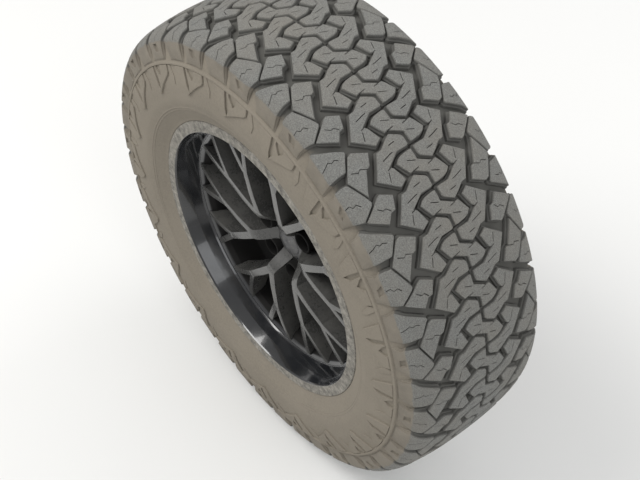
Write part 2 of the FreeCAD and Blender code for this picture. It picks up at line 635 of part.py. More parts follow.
def axle_yoke():
    """Socket for the axle tube and the two arms that hold the ball joints."""
    s_in, s_out = YOKE_FROM, YOKE_TO
    side = [(0, s_out, 0), (0, s_in, 0), (WEB_FROM - 10, s_in, 12), (WEB_FROM, s_in - 14, 10),
            (WEB_FROM, 14 - s_in, 10), (WEB_FROM - 10, -s_in, 12), (0, -s_in, 0), (0, -s_out, 0),
            (WEB_FROM, -s_out, 24), (WEB_TO, -s_out + 34, 20), (WEB_TO, s_out - 34, 20),
            (WEB_FROM, s_out, 24)]
    arms = plate_yz(side, -YOKE_BOSS_R, YOKE_BOSS_R)
    bosses = [post(YOKE_BOSS_R, s_in, s_out), post(YOKE_BOSS_R, -s_out, -s_in)]
    web = on_kingpin(union([arms] + bosses))
    socket = ring(TUBE_R - 4, SOCKET_R, KINGPIN_Y + WEB_FROM + 6, 0)
    tube_bore = drum(TUBE_R, -SOCKET_LENGTH, 1)
    shaft_way = drum(TUBE_R - 4, KINGPIN_Y, 1)
    room = Part.makeSphere(JOINT_SPAN / 2 + 12, Vector(0, KINGPIN_Y, 0))
    bores = both_ends(post(HOUSING_R, s_in - 1, s_out + 1))
    return union([web, socket]).cut(union([tube_bore, shaft_way])).cut(room).cut(union(bores))


# ---------------------------------------------------------------- brake on the knuckle
def at_caliper(shape):
    return about_axis(shape, CALIPER_ANGLE)


def dust_shield():
    inner = RING_FACE_Y - SHIELD_T
    step = inner - 4
    plate = turned(plain([(RING_BORE_R + 0.2, inner), (RING_R + 3, inner), (RING_R + 8, step),
                          (SHIELD_R, step), (SHIELD_R, step + SHIELD_T),
                          (RING_R + 8 + SHIELD_T, step + SHIELD_T),
                          (RING_R + 3 + SHIELD_T, RING_FACE_Y), (RING_BORE_R + 0.2, RING_FACE_Y)]))
    gap = block((RING_R + 12, SHIELD_R + 5), (step - 5, RING_FACE_Y + 5),
                (-CALIPER_HALF - 34, CALIPER_HALF + 34))
    return plate.cut(at_caliper(gap))


def brake_pads():
    pads = []
    width = [(CALIPER_IN_R, -PAD_HALF + 6, 4), (DISC_R - 4, -PAD_HALF, 4), (DISC_R - 4, PAD_HALF, 4),
             (CALIPER_IN_R, PAD_HALF - 6, 4)]
    for y in (DISC_IN_Y + RUNNING, DISC_OUT_Y - RUNNING - BRAKE_PAD_T):
        pads.append(at_caliper(plate_xz(width, y, y + BRAKE_PAD_T)))
    return Part.makeCompound(pads)


def caliper():
    """Two-piston body that slides on its bracket and reaches over the disc."""
    inboard = DISC_IN_Y + RUNNING + BRAKE_PAD_T
    outboard = DISC_OUT_Y - RUNNING - BRAKE_PAD_T
    h = CALIPER_HALF
    over = BRIDGE_IN_R
    housing = plate_xz([(CALIPER_IN_R + 2, -h + 8, 14), (CALIPER_OUT_R, -h, 14), (CALIPER_OUT_R, h, 14),
                        (CALIPER_IN_R + 2, h - 8, 14)], inboard, inboard + 20)
    middle_r = (CALIPER_IN_R + CALIPER_OUT_R) / 2
    pots = [drum(POT_R, inboard + 10, inboard + PISTON_DEPTH, middle_r, z) for z in (-h / 2, h / 2)]
    bridge = plate_xz([(over, -h, 3), (CALIPER_OUT_R, -h, 10), (CALIPER_OUT_R, h, 10), (over, h, 3)],
                      outboard - FINGER_T, inboard + 10)
    fingers = [plate_xz([(CALIPER_IN_R + 8, z - 17, 8), (CALIPER_OUT_R, z - 22, 8),
                         (CALIPER_OUT_R, z + 22, 8), (CALIPER_IN_R + 8, z + 17, 8)],
                        outboard - FINGER_T, outboard) for z in (-h / 2 - 3, h / 2 + 3)]
    body = union([housing, bridge] + pots + fingers)
    port = drum(PORT_R, inboard + PISTON_DEPTH - PORT_LENGTH, inboard + PISTON_DEPTH, middle_r, h / 2)
    return at_caliper(body.cut(port))


def caliper_bracket():
    low = CALIPER_HALF + 3
    high = low + ABUTMENT_T
    inboard = DISC_IN_Y + CLEAR + 1
    outboard = DISC_OUT_Y - CLEAR - 1
    foot = CALIPER_IN_R - 16
    top = DISC_R + CLEAR + BRACKET_LEG / 2
    pieces = []
    for side in (-1, 1):
        z = sorted((side * low, side * high))
        pieces.append(block((foot, top), (inboard, BRACKET_Y), z))
        pieces.append(block((top - BRACKET_LEG, top), (outboard - BRACKET_T, BRACKET_Y), z))
        pieces.append(block((foot, top), (outboard - BRACKET_T, outboard), z))
    pieces.append(block((foot, CALIPER_IN_R - 3), (outboard - BRACKET_T, outboard), (-high, high)))
    pieces.append(block((foot, CALIPER_IN_R - 3), (inboard, BRACKET_Y), (-high, high)))
    return at_caliper(union(pieces).cut(ring(0.1, DISC_R + CLEAR, outboard, inboard)))


# ---------------------------------------------------------------- the part
os.makedirs("parts", exist_ok=True)
PIECES = [("tyre", tyre), ("alloy_wheel", alloy_wheel), ("centre_cap", centre_cap),
          ("lug_nuts", lug_nuts), ("valve_stem", valve_stem), ("wheel_studs", wheel_studs),
          ("hub", hub), ("brake_disc", brake_disc), ("stub_axle", stub_axle),
          ("hub_bearing", hub_bearing), ("knuckle", knuckle), ("ball_studs", ball_studs),
          ("dust_shield", dust_shield), ("caliper", caliper), ("caliper_bracket", caliper_bracket),
          ("brake_pads", brake_pads), ("axle_yoke", axle_yoke),
          ("ball_joint_housings", ball_joint_housings), ("ball_joint_boots", ball_joint_boots)]
for name, make in PIECES:
    save(name, make())
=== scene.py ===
"""Looks of a 4x4's front wheel end: off-road tyre, branching-arm alloy wheel, brake and knuckle.

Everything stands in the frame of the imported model, in metres: the wheel turns about the Y axis,
its outer face looks along -Y and +Z is up. Outlines of tread blocks are written in millimetres.
"""
import math

import bmesh
import bpy
import numpy as np
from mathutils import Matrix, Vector


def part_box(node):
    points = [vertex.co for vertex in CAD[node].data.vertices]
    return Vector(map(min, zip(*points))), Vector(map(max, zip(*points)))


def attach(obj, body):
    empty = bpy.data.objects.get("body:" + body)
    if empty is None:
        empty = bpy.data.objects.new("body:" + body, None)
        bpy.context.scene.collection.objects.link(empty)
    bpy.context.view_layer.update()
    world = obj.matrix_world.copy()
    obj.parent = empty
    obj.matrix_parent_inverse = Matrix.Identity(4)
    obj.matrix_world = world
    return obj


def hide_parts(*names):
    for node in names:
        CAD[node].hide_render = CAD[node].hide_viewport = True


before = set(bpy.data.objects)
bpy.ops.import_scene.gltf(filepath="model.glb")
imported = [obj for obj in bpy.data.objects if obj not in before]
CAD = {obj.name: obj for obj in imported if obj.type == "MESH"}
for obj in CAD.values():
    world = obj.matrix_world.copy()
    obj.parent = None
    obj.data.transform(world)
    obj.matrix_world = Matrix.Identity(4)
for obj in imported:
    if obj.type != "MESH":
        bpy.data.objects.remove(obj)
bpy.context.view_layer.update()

bl_info = {
    "name": "Off-road wheel end",
    "version": (1, 0, 0),
    "blender": (4, 5, 0),
    "location": "View3D > Sidebar > Wheel end",
    "description": "Builds the looks of a lifted 4x4's front wheel end around its packed solids",
    "category": "Add Mesh",
}

MM = 0.001
TYRE_LOW, TYRE_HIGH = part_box("tyre")
RIM_LOW, RIM_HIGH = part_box("alloy_wheel")
CROWN_R = TYRE_HIGH.z / MM                       # crown radius, mm
CENTRE = (TYRE_LOW.y + TYRE_HIGH.y) / 2 / MM     # wheel's centre plane, mm
FLANGE_Y = RIM_LOW.y / MM                        # outer rim flange, mm
RIM_WIDTH = (RIM_HIGH.y - RIM_LOW.y) / MM
FLANGE_R = (RIM_HIGH.z - RIM_LOW.z) / 2 / MM
ROAD_WHEEL = "road_wheel"


# ---------------------------------------------------------------- settings
def length(label, text, metres):
    return bpy.props.FloatProperty(name=label, description=text, default=metres, unit="LENGTH")


def share(label, text, value):
    return bpy.props.FloatProperty(name=label, description=text, default=value, min=0, max=1,
                                   subtype="FACTOR")


def colour(label, text, rgb):
    return bpy.props.FloatVectorProperty(name=label, description=text, default=rgb, size=3, subtype="COLOR",
                                         min=0, max=1)


class TyreSettings(bpy.types.PropertyGroup):
    tread_depth: length("Tread depth", "Depth of the main grooves", 0.0125)
    edge: length("Worn edge", "Rounding of the tread blocks' top edges", 0.0009)
    sipe: length("Sipe width", "Width of the slits in the tread blocks", 0.0013)
    periods: bpy.props.IntProperty(name="Repeats", description="Times that the tread pattern goes round",
                                   default=20, min=8)
    turn: bpy.props.FloatProperty(name="Turn", description="Place of the tread pattern round the wheel",
                                  default=math.radians(44.8), subtype="ANGLE")
    rubber: colour("Rubber", "Colour of the tread's top", (0.165, 0.165, 0.155))
    # Groove floors get this darker colour partly as painted shade of the grooves' depth and partly for their
    # bare rubber, which has no dust.
    groove: colour("Groove", "Colour of the groove floors", (0.10, 0.098, 0.09))
    dust: colour("Dust", "Dry mud on shoulders and sidewalls", (0.20, 0.178, 0.145))
    dustiness: share("Dustiness", "How much dust lies on the tread", 0.35)


class WheelSettings(bpy.types.PropertyGroup):
    arm_start: bpy.props.FloatProperty(name="First arm",
                                       description="Angle of the first arm from +X towards +Z",
                                       default=math.radians(14.3), subtype="ANGLE")
    arms: bpy.props.IntProperty(name="Arms", description="Number of branching arms", default=6, min=3)
    lacquer: colour("Lacquer", "Colour of the wheel's gloss lacquer", (0.009, 0.010, 0.012))
    gloss: share("Roughness", "Roughness under the clear coat", 0.16)
    # Painted highlight: this light colour along the arms' chamfers stands for the sky's reflection in them,
    # not for wear.
    worn: colour("Worn edges", "Colour of the bright edges of the arms", (0.50, 0.49, 0.46))
    chamfer: length("Chamfer", "Chamfer along the arms' front edges", 0.0024)


class BrakeSettings(bpy.types.PropertyGroup):
    iron: colour("Iron", "Cast iron of knuckle, bracket and caliper", (0.13, 0.12, 0.115))
    rust: colour("Rust", "Rust on bare iron and steel", (0.23, 0.10, 0.045))
    bright: colour("Rubbed iron", "Faces rubbed bright by the pads", (0.42, 0.41, 0.40))
    paint: colour("Axle paint", "Satin paint of the axle end", (0.035, 0.035, 0.037))


class StageSettings(bpy.types.PropertyGroup):
    floor: colour("Floor", "Colour of the floor", (0.80, 0.80, 0.79))
    azimuth: bpy.props.FloatProperty(name="Azimuth", description="Camera's turn from looking along +Y",
                                     default=math.radians(51.28), subtype="ANGLE")
    elevation: bpy.props.FloatProperty(name="Elevation", description="Camera's height angle",
                                       default=math.radians(48.28), subtype="ANGLE")
    distance: length("Distance", "Camera's distance from its aim", 2.014)
    lens: bpy.props.FloatProperty(name="Lens", description="Focal length", default=63.13, unit="CAMERA")


# ---------------------------------------------------------------- meshes
def piece(name, verts, faces, material, body, stands_for=(), sharp=35.0, marks=None):
    """Mesh object from vertices in metres, riding on a body."""
    mesh = bpy.data.meshes.new(name)
    mesh.from_pydata([tuple(v) for v in verts], [], faces)
    mesh.validate()
    for label, values in (marks or {}).items():
        mesh.attributes.new(label, "FLOAT", "POINT").data.foreach_set("value", np.asarray(values, np.float32))
    mesh.polygons.foreach_set("use_smooth", [True] * len(mesh.polygons))
    mesh.set_sharp_from_angle(angle=math.radians(sharp))
    mesh.materials.append(material)
    obj = bpy.data.objects.new(name, mesh)
    bpy.context.scene.collection.objects.link(obj)
    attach(obj, body)
    if stands_for:
        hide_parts(*stands_for)
    return obj


def rounded(points, arc_step=15.0):
    """Closed outline through (a, b, corner radius) points, with its corners as arcs."""
    outline = []
    flat = [np.array(p[:2], float) for p in points]
    for i, here in enumerate(flat):
        radius = points[i][2]
        if radius <= 0:
            outline.append(here)
            continue
        back = flat[i - 1] - here
        ahead = flat[(i + 1) % len(flat)] - here
        back /= np.linalg.norm(back)
        ahead /= np.linalg.norm(ahead)
        half = math.acos(max(-1, min(1, float(back @ ahead)))) / 2
        centre = here + (back + ahead) / np.linalg.norm(back + ahead) * radius / math.sin(half)
        start = here + back * radius / math.tan(half) - centre
        sweep = math.pi - 2 * half
        if back[0] * ahead[1] - back[1] * ahead[0] > 0:
            sweep = -sweep
        steps = max(2, int(math.degrees(abs(sweep)) / arc_step) + 1)
        for k in range(steps + 1):
            turn = sweep * k / steps
            c, s = math.cos(turn), math.sin(turn)
            outline.append(centre + np.array([c * start[0] - s * start[1], s * start[0] + c * start[1]]))
    return outline


def lathe(outline, segments, closed=True):
    """Turn (radius, y) points in mm about the wheel's axis; gives metres."""
    outline = np.asarray(outline, float)
    angles = np.linspace(0, 2 * math.pi, segments, endpoint=False)
    radius = outline[:, 0][None, :] * MM
    verts = np.stack([radius * np.sin(angles)[:, None],
                      np.broadcast_to(outline[:, 1] * MM, (segments, len(outline))),
                      radius * np.cos(angles)[:, None]], -1).reshape(-1, 3)
    count = len(outline)
    faces = []
    for i in range(segments):
        j = (i + 1) % segments
        for k in range(count if closed else count - 1):
            m = (k + 1) % count
            faces.append((i * count + k, j * count + k, j * count + m, i * count + m))
    return verts, faces


def joined(parts):
    """Several (verts, faces) as one."""
    verts, faces, base = [], [], 0
    for v, f in parts:
        verts.append(np.asarray(v, float))
        faces += [tuple(i + base for i in face) for face in f]
        base += len(v)
    return np.concatenate(verts), faces


# ---------------------------------------------------------------- tyre section
# half section: distance from the centre plane, drop below the crown (mm)
SECTION = [(0, 0), (40, 0.8), (69, 3), (100, 7.3), (114, 10.8), (124, 15.5), (131, 22), (134.5, 27.5),
           (135.8, 31), (137.2, 40), (139, 56), (142.5, 76), (146, 96), (145.6, 117), (141, 139),
           (134, 154), (128.4, 164.5), (126.5, 169.5)]
CREST_AT = 140.0             # along the section, where the shoulder blocks turn down
FLANK_END_AT = 169.0
RIB_AT = 175.0               # raised ring below the shoulder
BAND_END_AT = 228.0          # end of the sunk band that carries the shields
BEAD_LINES_AT = (256.0, 260.5)


def smooth_line(points, step=0.5):
    """Catmull-Rom line through points, sampled every step along its length."""
    pts = np.asarray(points, float)
    ends = np.vstack([2 * pts[0] - pts[1], pts, 2 * pts[-1] - pts[-2]])
    dense = []
    for i in range(1, len(ends) - 2):
        p0, p1, p2, p3 = ends[i - 1:i + 3]
        t = np.linspace(0, 1, 40, endpoint=False)[:, None]
        dense.append(0.5 * (2 * p1 + (p2 - p0) * t + (2 * p0 - 5 * p1 + 4 * p2 - p3) * t ** 2
                            + (3 * p1 - p0 - 3 * p2 + p3) * t ** 3))
    dense = np.vstack(dense + [pts[-1:]])
    along = np.concatenate([[0], np.cumsum(np.linalg.norm(np.diff(dense, axis=0), axis=1))])
    s = np.arange(0, along[-1], step)
    return s, np.stack([np.interp(s, along, dense[:, k]) for k in (0, 1)], -1)


SECTION_S, SECTION_XY = smooth_line([(-SECTION[1][0], SECTION[1][1])] + SECTION)
SECTION_S = SECTION_S - np.interp(0, SECTION_XY[:, 0], SECTION_S)
SECTION_END = float(SECTION_S[-1])
SECTION_SLOPE = np.gradient(SECTION_XY, SECTION_S, axis=0)


def groove_depth(s, full):
    """Depth of the tread's grooves at a place along the section, in mm."""
    return np.interp(np.abs(s), [0, 112, 128, CREST_AT, 156, FLANK_END_AT, RIB_AT],
                     [full, full, 0.85 * full, 0.62 * full, 0.42 * full, 0.15 * full, 0.0])


def flank_drop(s):
    """How far the shoulder blocks' flanks lie under the section, in mm."""
    return np.interp(np.abs(s), [0, CREST_AT, CREST_AT + 1.5, FLANK_END_AT], [0, 0, 0.9, 1.4])


def on_section(s, height):
    """Radius and y (mm) of places along the section, raised by height along its normal."""
    s = np.asarray(s, float)
    a = np.abs(s)
    side = np.where(s < 0, -1.0, 1.0)
    across, drop = (np.interp(a, SECTION_S, SECTION_XY[:, k]) for k in (0, 1))
    d_across, d_drop = (np.interp(a, SECTION_S, SECTION_SLOPE[:, k]) for k in (0, 1))
    size = np.hypot(d_across, d_drop)
    return CROWN_R - drop + height * d_across / size, CENTRE + side * (across + height * d_drop / size)


def wrap_tread(points, turn, full_depth):
    """Flat (u round the tyre, s along the section, h above the tread) points in mm to metres."""
    u, s, h = points[:, 0], points[:, 1], points[:, 2]
    scale = groove_depth(s, full_depth) / full_depth
    deep = np.where(h < 0, h * np.maximum(scale, 0.1), h) - flank_drop(s)
    return wrap_wall(np.stack([u, s, deep], -1), turn)


def wrap_wall(points, turn):
    """The same, with heights kept as they are."""
    radius, y = on_section(points[:, 1], points[:, 2])
    angle = turn + points[:, 0] / CROWN_R
    return np.stack([radius * np.sin(angle), y, radius * np.cos(angle)], -1) * MM


# ---------------------------------------------------------------- tread pattern
# One repeat, about the pattern's point of symmetry: u forwards round the crown, s along the
# section (negative on the outer side), in mm.
DRAWN_REPEAT = 138.9
SHOULDER_BLOCKS = {
    "foot": [(-29, -135.5), (-22.5, -125.5), (-13.5, -108.5), (-5.5, -95), (-2.3, -94), (2, -97),
        (21, -108.5), (22.5, -110), (23, -122.5), (25, -140), (27, -155), (28.5, -169), (-19, -169),
        (-22, -157), (-30, -141)],
    "tooth": [(4.5, -94.5), (2, -86.5), (14, -64.5), (31.5, -73.5), (34.5, -81), (63, -96.5), (70, -99.5),
        (38, -115.5), (24, -107.5)],
    "heel": [(39, -118.5), (67, -104), (78, -99.5), (82, -101.5), (99, -122), (97.5, -128.5), (94.5, -141),
        (92.5, -155), (92, -169), (44, -169), (46, -151), (40, -141), (38.5, -128)],
    "wedge": [(84, -66), (74, -84), (76.5, -89.5), (84.5, -99), (100.5, -119.5), (103, -117.5),
        (111, -104.5), (119, -91.5), (105.5, -81.5), (104, -73.5)],
}
CENTRE_BLOCKS = {
    "hook": [(58, -77), (21, -54), (20, -44.5), (11.5, -32.5), (5, -21), (14.5, -5), (18.5, -3), (31.5, -3),
        (33, -7), (33.5, -25.5), (48, -48.5), (52.5, -43.5), (74, -35.5), (81, -48.5)],
    "crank": [(-30.5, -7.5), (-28.5, -22.5), (-25.5, -30), (-19.5, -36), (-5.5, -28.5), (1, -24.5),
        (0, -18.5), (9.5, -2), (12.5, 3), (30, 3.5), (30.5, 7.5), (28.5, 22.5), (25.5, 30), (19.5, 36),
        (5.5, 28.5), (-1, 24.5), (0, 18.5), (-9.5, 2), (-12.5, -3), (-30, -3.5)],
}
SIPES = {
    "foot": [[(4, -138), (0, -129), (-4, -123), (0, -119), (-2, -114), (1, -108)]],
    "tooth": [[(28, -104), (32.5, -94), (29, -90), (34, -79)]],
    "heel": [[(69, -139), (67, -131), (72, -127), (70, -121), (76, -116)]],
    "wedge": [[(91, -98), (97, -91), (96, -86), (103, -80)]],
    "hook": [[(36, -53), (32, -38), (31, -32)], [(20, -32), (18.5, -20)], [(54, -54), (68, -59)],
        [(49, -47), (51, -54)]],
    "crank": [[(-17.5, -20), (-12, -7)], [(17.5, 20), (12, 7)], [(0.5, -19), (-1.5, -8)], [(-0.5, 19),
        (1.5, 8)]],
}
FLANK_DIMPLE = [(58, -143), (67, -158), (81, -158), (75, -143)]
# rings of a block from its foot to its top: share of the depth, growth of the outline in mm
BLOCK_RINGS = [(1.0, 3.2), (0.60, 2.4), (0.48, 0.5)]
# Sidewall, one repeat: a shield plate with two pockets, and a smaller plate beside it.
SHIELD = [(-3, -179), (0, -186), (10, -205), (19, -219), (31, -225), (36, -222), (93, -196), (98, -191),
          (97, -179)]
SHIELD_POCKETS = [[(31, -177), (36.5, -209), (41, -219), (48, -205), (43, -189), (40.5, -177)],
                  [(43, -177), (46, -184), (60, -196), (66, -190), (68.5, -184), (66, -177)]]
SIDE_PLATE = [(102, -179), (101, -190), (106, -198), (119, -211), (121, -199), (110, -179)]


def half_turn(points):
    return [(-u, -s) for u, s in points]


def counter_clockwise(outline):
    pts = np.asarray(outline, float)
    area = (pts[:, 0] * np.roll(pts[:, 1], -1) - np.roll(pts[:, 0], -1) * pts[:, 1]).sum()
    return pts if area > 0 else pts[::-1]


def grown(outline, amount):
    """Outline (counter-clockwise) with every side moved out by amount."""
    pts = np.asarray(outline, float)
    ahead = np.roll(pts, -1, 0) - pts
    ahead /= np.linalg.norm(ahead, axis=1)[:, None]
    out = np.stack([ahead[:, 1], -ahead[:, 0]], -1)
    before = np.roll(out, 1, 0)
    mitre = (out + before) / np.maximum(1 + (out * before).sum(1), 0.35)[:, None]
    return pts + mitre * amount


def prism(outline, rings):
    """Closed block: the outline grown by each ring's amount at each ring's height."""
    base = counter_clockwise(outline)
    mesh = bmesh.new()
    loops = [[mesh.verts.new((u, s, height)) for u, s in grown(base, amount)] for height, amount in rings]
    mesh.faces.new(loops[0][::-1])
    mesh.faces.new(loops[-1])
    for lower, upper in zip(loops, loops[1:]):
        for i in range(len(base)):
            j = (i + 1) % len(base)
            mesh.faces.new((lower[i], lower[j], upper[j], upper[i]))
    return mesh


def slit(points, width):
    """Outline of a thin slit along a line of points."""
    pts = np.asarray(points, float)
    along = np.gradient(pts, axis=0)
    along /= np.linalg.norm(along, axis=1)[:, None]
    side = np.stack([-along[:, 1], along[:, 0]], -1) * width / 2
    return [tuple(p) for p in pts + side] + [tuple(p) for p in (pts - side)[::-1]]


def as_object(name, mesh):
    """Object made from a bmesh, which is freed."""
    bmesh.ops.recalc_face_normals(mesh, faces=mesh.faces)
    data = bpy.data.meshes.new(name)
    mesh.to_mesh(data)
    mesh.free()
    obj = bpy.data.objects.new(name, data)
    bpy.context.scene.collection.objects.link(obj)
    return obj


def combined(mesh, tool, kind):
    """Boolean of two bmeshes, which are freed."""
    body, knife = as_object("body", mesh), as_object("tool", tool)
    step = body.modifiers.new("boolean", "BOOLEAN")
    step.object = knife
    step.operation = kind
    step.solver = "EXACT"
    step.use_self = kind == "UNION"
    result = bmesh.new()
    result.from_mesh(body.evaluated_get(bpy.context.evaluated_depsgraph_get()).to_mesh())
    for obj in (body, knife):
        data = obj.data
        bpy.data.objects.remove(obj)
        bpy.data.meshes.remove(data)
    return result


def cut(mesh, cutters):
    """Take bmeshes that don't touch each other out of another."""
    tool = bmesh.new()
    for one in cutters:
        data = bpy.data.meshes.new("cutter")
        bmesh.ops.recalc_face_normals(one, faces=one.faces)
        one.to_mesh(data)
        one.free()
        tool.from_mesh(data)
        bpy.data.meshes.remove(data)
    return combined(mesh, tool, "DIFFERENCE")


def diced(mesh, step_u, lines_s):
    """Split a flat block along lines, so that it can follow the tyre's curve."""
    lows = [min(v.co[k] for v in mesh.verts) for k in (0, 1)]
    highs = [max(v.co[k] for v in mesh.verts) for k in (0, 1)]
    cuts = [((u, 0, 0), (1, 0, 0)) for u in np.arange(math.ceil(lows[0] / step_u) * step_u, highs[0], step_u)]
    cuts += [((0, s, 0), (0, 1, 0)) for s in lines_s if lows[1] < s < highs[1]]
    for place, normal in cuts:
        geometry = mesh.verts[:] + mesh.edges[:] + mesh.faces[:]
        bmesh.ops.bisect_plane(mesh, geom=geometry, plane_co=place, plane_no=normal, dist=1e-4)
    bmesh.ops.triangulate(mesh, faces=mesh.faces[:], quad_method="BEAUTY", ngon_method="BEAUTY")
    return mesh


def flat_mesh(mesh):
    """Vertices and faces of a bmesh, which is freed."""
    mesh.verts.index_update()
    verts = np.array([v.co[:] for v in mesh.verts])
    faces = [tuple(v.index for v in f.verts) for f in mesh.faces]
    mesh.free()
    return verts, faces


def flat_block(outline, sipes, dimples, tyre):
    """Vertices (u, s, h) and faces of one tread block in the flat pattern."""
    depth, edge = tyre.tread_depth / MM, tyre.edge / MM
    rings = [(-part * depth, amount) for part, amount in BLOCK_RINGS]
    mesh = prism(outline, rings + [(-edge, 0.0), (0.0, -edge)])
    knives = [prism(slit(points, tyre.sipe / MM), [(-0.55 * depth, 0), (3.0, 0)]) for points in sipes]
    knives += [prism(points, [(-0.5 * depth, -1.5), (0.4, 0), (3.0, 0)]) for points in dimples]
    mesh = cut(mesh, knives) if knives else mesh
    lines = list(np.arange(-112, 113, 16.0))
    lines += [side * s for s in (120, 126, 131, 135, CREST_AT - 1, CREST_AT + 1.5, 150, 160)
              for side in (-1, 1)]
    return flat_mesh(diced(mesh, 16.0, lines))


def stretched(points, tyre):
    """Stretch the drawn repeat round the tyre so that whole repeats fit."""
    repeat = 2 * math.pi * CROWN_R / tyre.periods
    return [(u * repeat / DRAWN_REPEAT, s) for u, s in points]


def repeated(name, flat, wrapper, tyre, material, depth, sharp=40):
    """Flat meshes repeated round the tyre as one piece, with marks for its material."""
    repeat = 2 * math.pi * CROWN_R / tyre.periods
    flat_verts, flat_faces = joined(flat)
    verts, faces = joined([(wrapper(flat_verts + np.array([k * repeat, 0, 0])), flat_faces)
                           for k in range(tyre.periods)])
    marks = {"deep": np.tile(np.clip(-flat_verts[:, 2] / depth, 0, 1), tyre.periods),
             "across": np.tile(np.abs(flat_verts[:, 1]), tyre.periods)}
    return piece(name, verts, faces, material, ROAD_WHEEL, ("tyre",), sharp=sharp, marks=marks)


# ---------------------------------------------------------------- alloy wheel
# one arm, in its own plane: from radius, from angle, to radius, to angle, width at start and end
ARM_BARS = [(32, 0, 70, 0, 28, 21), (70, 0, 152, 14.5, 15.5, 13), (70, 0, 152, -14.5, 15.5, 13),
            (152, 14.5, 236, 7.5, 11, 11.5), (152, -14.5, 236, -7.5, 11, 11.5),
            (152, 14.5, 236, 22.5, 11, 11.5), (152, -14.5, 236, -22.5, 11, 11.5)]
# depths behind the outer flange of the arms' front and back, by radius
ARM_FRONT = [(0, 80), (42, 79), (46, 75), (62, 52.5), (67, 47.5), (76, 44), (110, 41.3), (165, 41.1),
             (200, 43), (243, 48)]
ARM_BACK = [(0, 130), (82, 130), (98, 112), (140, 96), (180, 80), (224, 72), (225, 59), (238, 50.5),
            (243, 50)]
ARM_BLANK = 40.0             # thickness of the flat arm before it is dished
STUD_CIRCLE_R = 63.5
NUT_HALF_FLATS = 9.6         # half the width of a lug nut across its flats
CAP_DEPTH = 73.2             # depths behind the outer flange: the centre cap,
PAD_DEPTH = 118.0            # the pad's front, on which the nuts sit,
MOUNT_DEPTH = 139.0          # and its back on the hub


def polar(radius, degrees):
    turn = math.radians(degrees)
    return np.array([radius * math.cos(turn), radius * math.sin(turn)])


def round_bar(start, end, start_width, end_width):
    """Outline of a tapered bar with round ends."""
    along = (end - start) / np.linalg.norm(end - start)
    heading = math.degrees(math.atan2(along[1], along[0]))
    arc = np.linspace(-90, 90, 9)
    tip = [end + polar(end_width / 2, heading + a) for a in arc]
    root = [start + polar(start_width / 2, heading + 180 + a) for a in arc]
    return tip + root


def fused(meshes):
    """Union of overlapping bmeshes, with flat faces kept whole."""
    tool = bmesh.new()
    for one in meshes[1:]:
        data = bpy.data.meshes.new("part")
        bmesh.ops.recalc_face_normals(one, faces=one.faces)
        one.to_mesh(data)
        one.free()
        tool.from_mesh(data)
        bpy.data.meshes.remove(data)
    result = combined(meshes[0], tool, "UNION")
    bmesh.ops.remove_doubles(result, verts=result.verts, dist=0.01)
    bmesh.ops.dissolve_limit(result, angle_limit=math.radians(1), verts=result.verts, edges=result.edges)
    return result


def flat_arm(chamfer):
    """One arm of the wheel as a flat blank with filleted forks and chamfered front edges."""
    bars = [round_bar(polar(r1, a1), polar(r2, a2), w1, w2) for r1, a1, r2, a2, w1, w2 in ARM_BARS]
    blank = fused([prism(bar, [(-ARM_BLANK, 0), (0, 0)]) for bar in bars])
    forks = []
    for edge in blank.edges:
        upright = abs(edge.verts[0].co.z - edge.verts[1].co.z) > ARM_BLANK / 2
        sunk = len(edge.link_faces) == 2 and not edge.is_convex
        if upright and sunk and edge.calc_face_angle(0) > math.radians(20):
            forks.append(edge)
    bmesh.ops.bevel(blank, geom=forks, offset=5.0, offset_type="OFFSET", segments=4, profile=0.5,
                    affect="EDGES", clamp_overlap=True)
    rim = [e for e in blank.edges if all(v.co.z > -0.01 for v in e.verts) and len(e.link_faces) == 2
           and e.calc_face_angle(0) > math.radians(60)]
    bmesh.ops.bevel(blank, geom=rim, offset=chamfer, offset_type="OFFSET", segments=2, profile=0.6,
                    affect="EDGES", clamp_overlap=True)
    for u in list(np.arange(40, 80, 4.0)) + list(np.arange(80, 240, 12.0)):
        geometry = blank.verts[:] + blank.edges[:] + blank.faces[:]
        bmesh.ops.bisect_plane(blank, geom=geometry, plane_co=(u, 0, 0), plane_no=(1, 0, 0), dist=1e-4)
    bmesh.ops.triangulate(blank, faces=blank.faces[:], quad_method="BEAUTY", ngon_method="BEAUTY")
    return flat_mesh(blank)


def dished(points):
    """Flat arm points in mm to the wheel's face: (x, z, y) with their dished depth."""
    radius = np.hypot(points[:, 0], points[:, 1])
    front = np.interp(radius, *zip(*ARM_FRONT)) - points[:, 2]
    back = np.interp(radius, *zip(*ARM_BACK))
    depth = np.where(points[:, 2] > -ARM_BLANK / 2, front, back)
    return np.stack([points[:, 0], points[:, 1], depth], -1)


def on_face(points, degrees=0.0, place=(0.0, 0.0)):
    """Points (across, up, depth behind the outer flange) in mm, moved to a place and turned about
    the wheel's axis, in metres."""
    turn = math.radians(degrees)
    x, z = points[:, 0] + place[0], points[:, 1] + place[1]
    return np.stack([x * math.cos(turn) - z * math.sin(turn), points[:, 2] + FLANGE_Y,
                     x * math.sin(turn) + z * math.cos(turn)], -1) * MM


def spun(outline, segments=32):
    """Turn (radius, depth) points about the depth axis: (across, up, depth) points and faces."""
    verts, faces = lathe(outline, segments, closed=False)
    return np.stack([verts[:, 0], verts[:, 2], verts[:, 1]], -1) / MM, faces


def between_arms(wheel, index=0):
    step = 360 / wheel.arms
    return math.degrees(wheel.arm_start) + (index + 0.5) * step


# ---------------------------------------------------------------- materials
def shader(name):
    """New material and its graph, with a Principled surface to set."""
    material = bpy.data.materials.new(name)
    material.use_nodes = True
    nodes, links = material.node_tree.nodes, material.node_tree.links
    nodes.clear()
    out = nodes.new("ShaderNodeOutputMaterial")
    surface = nodes.new("ShaderNodeBsdfPrincipled")
    links.new(surface.outputs[0], out.inputs[0])
    return material, Graph(nodes, links, surface)


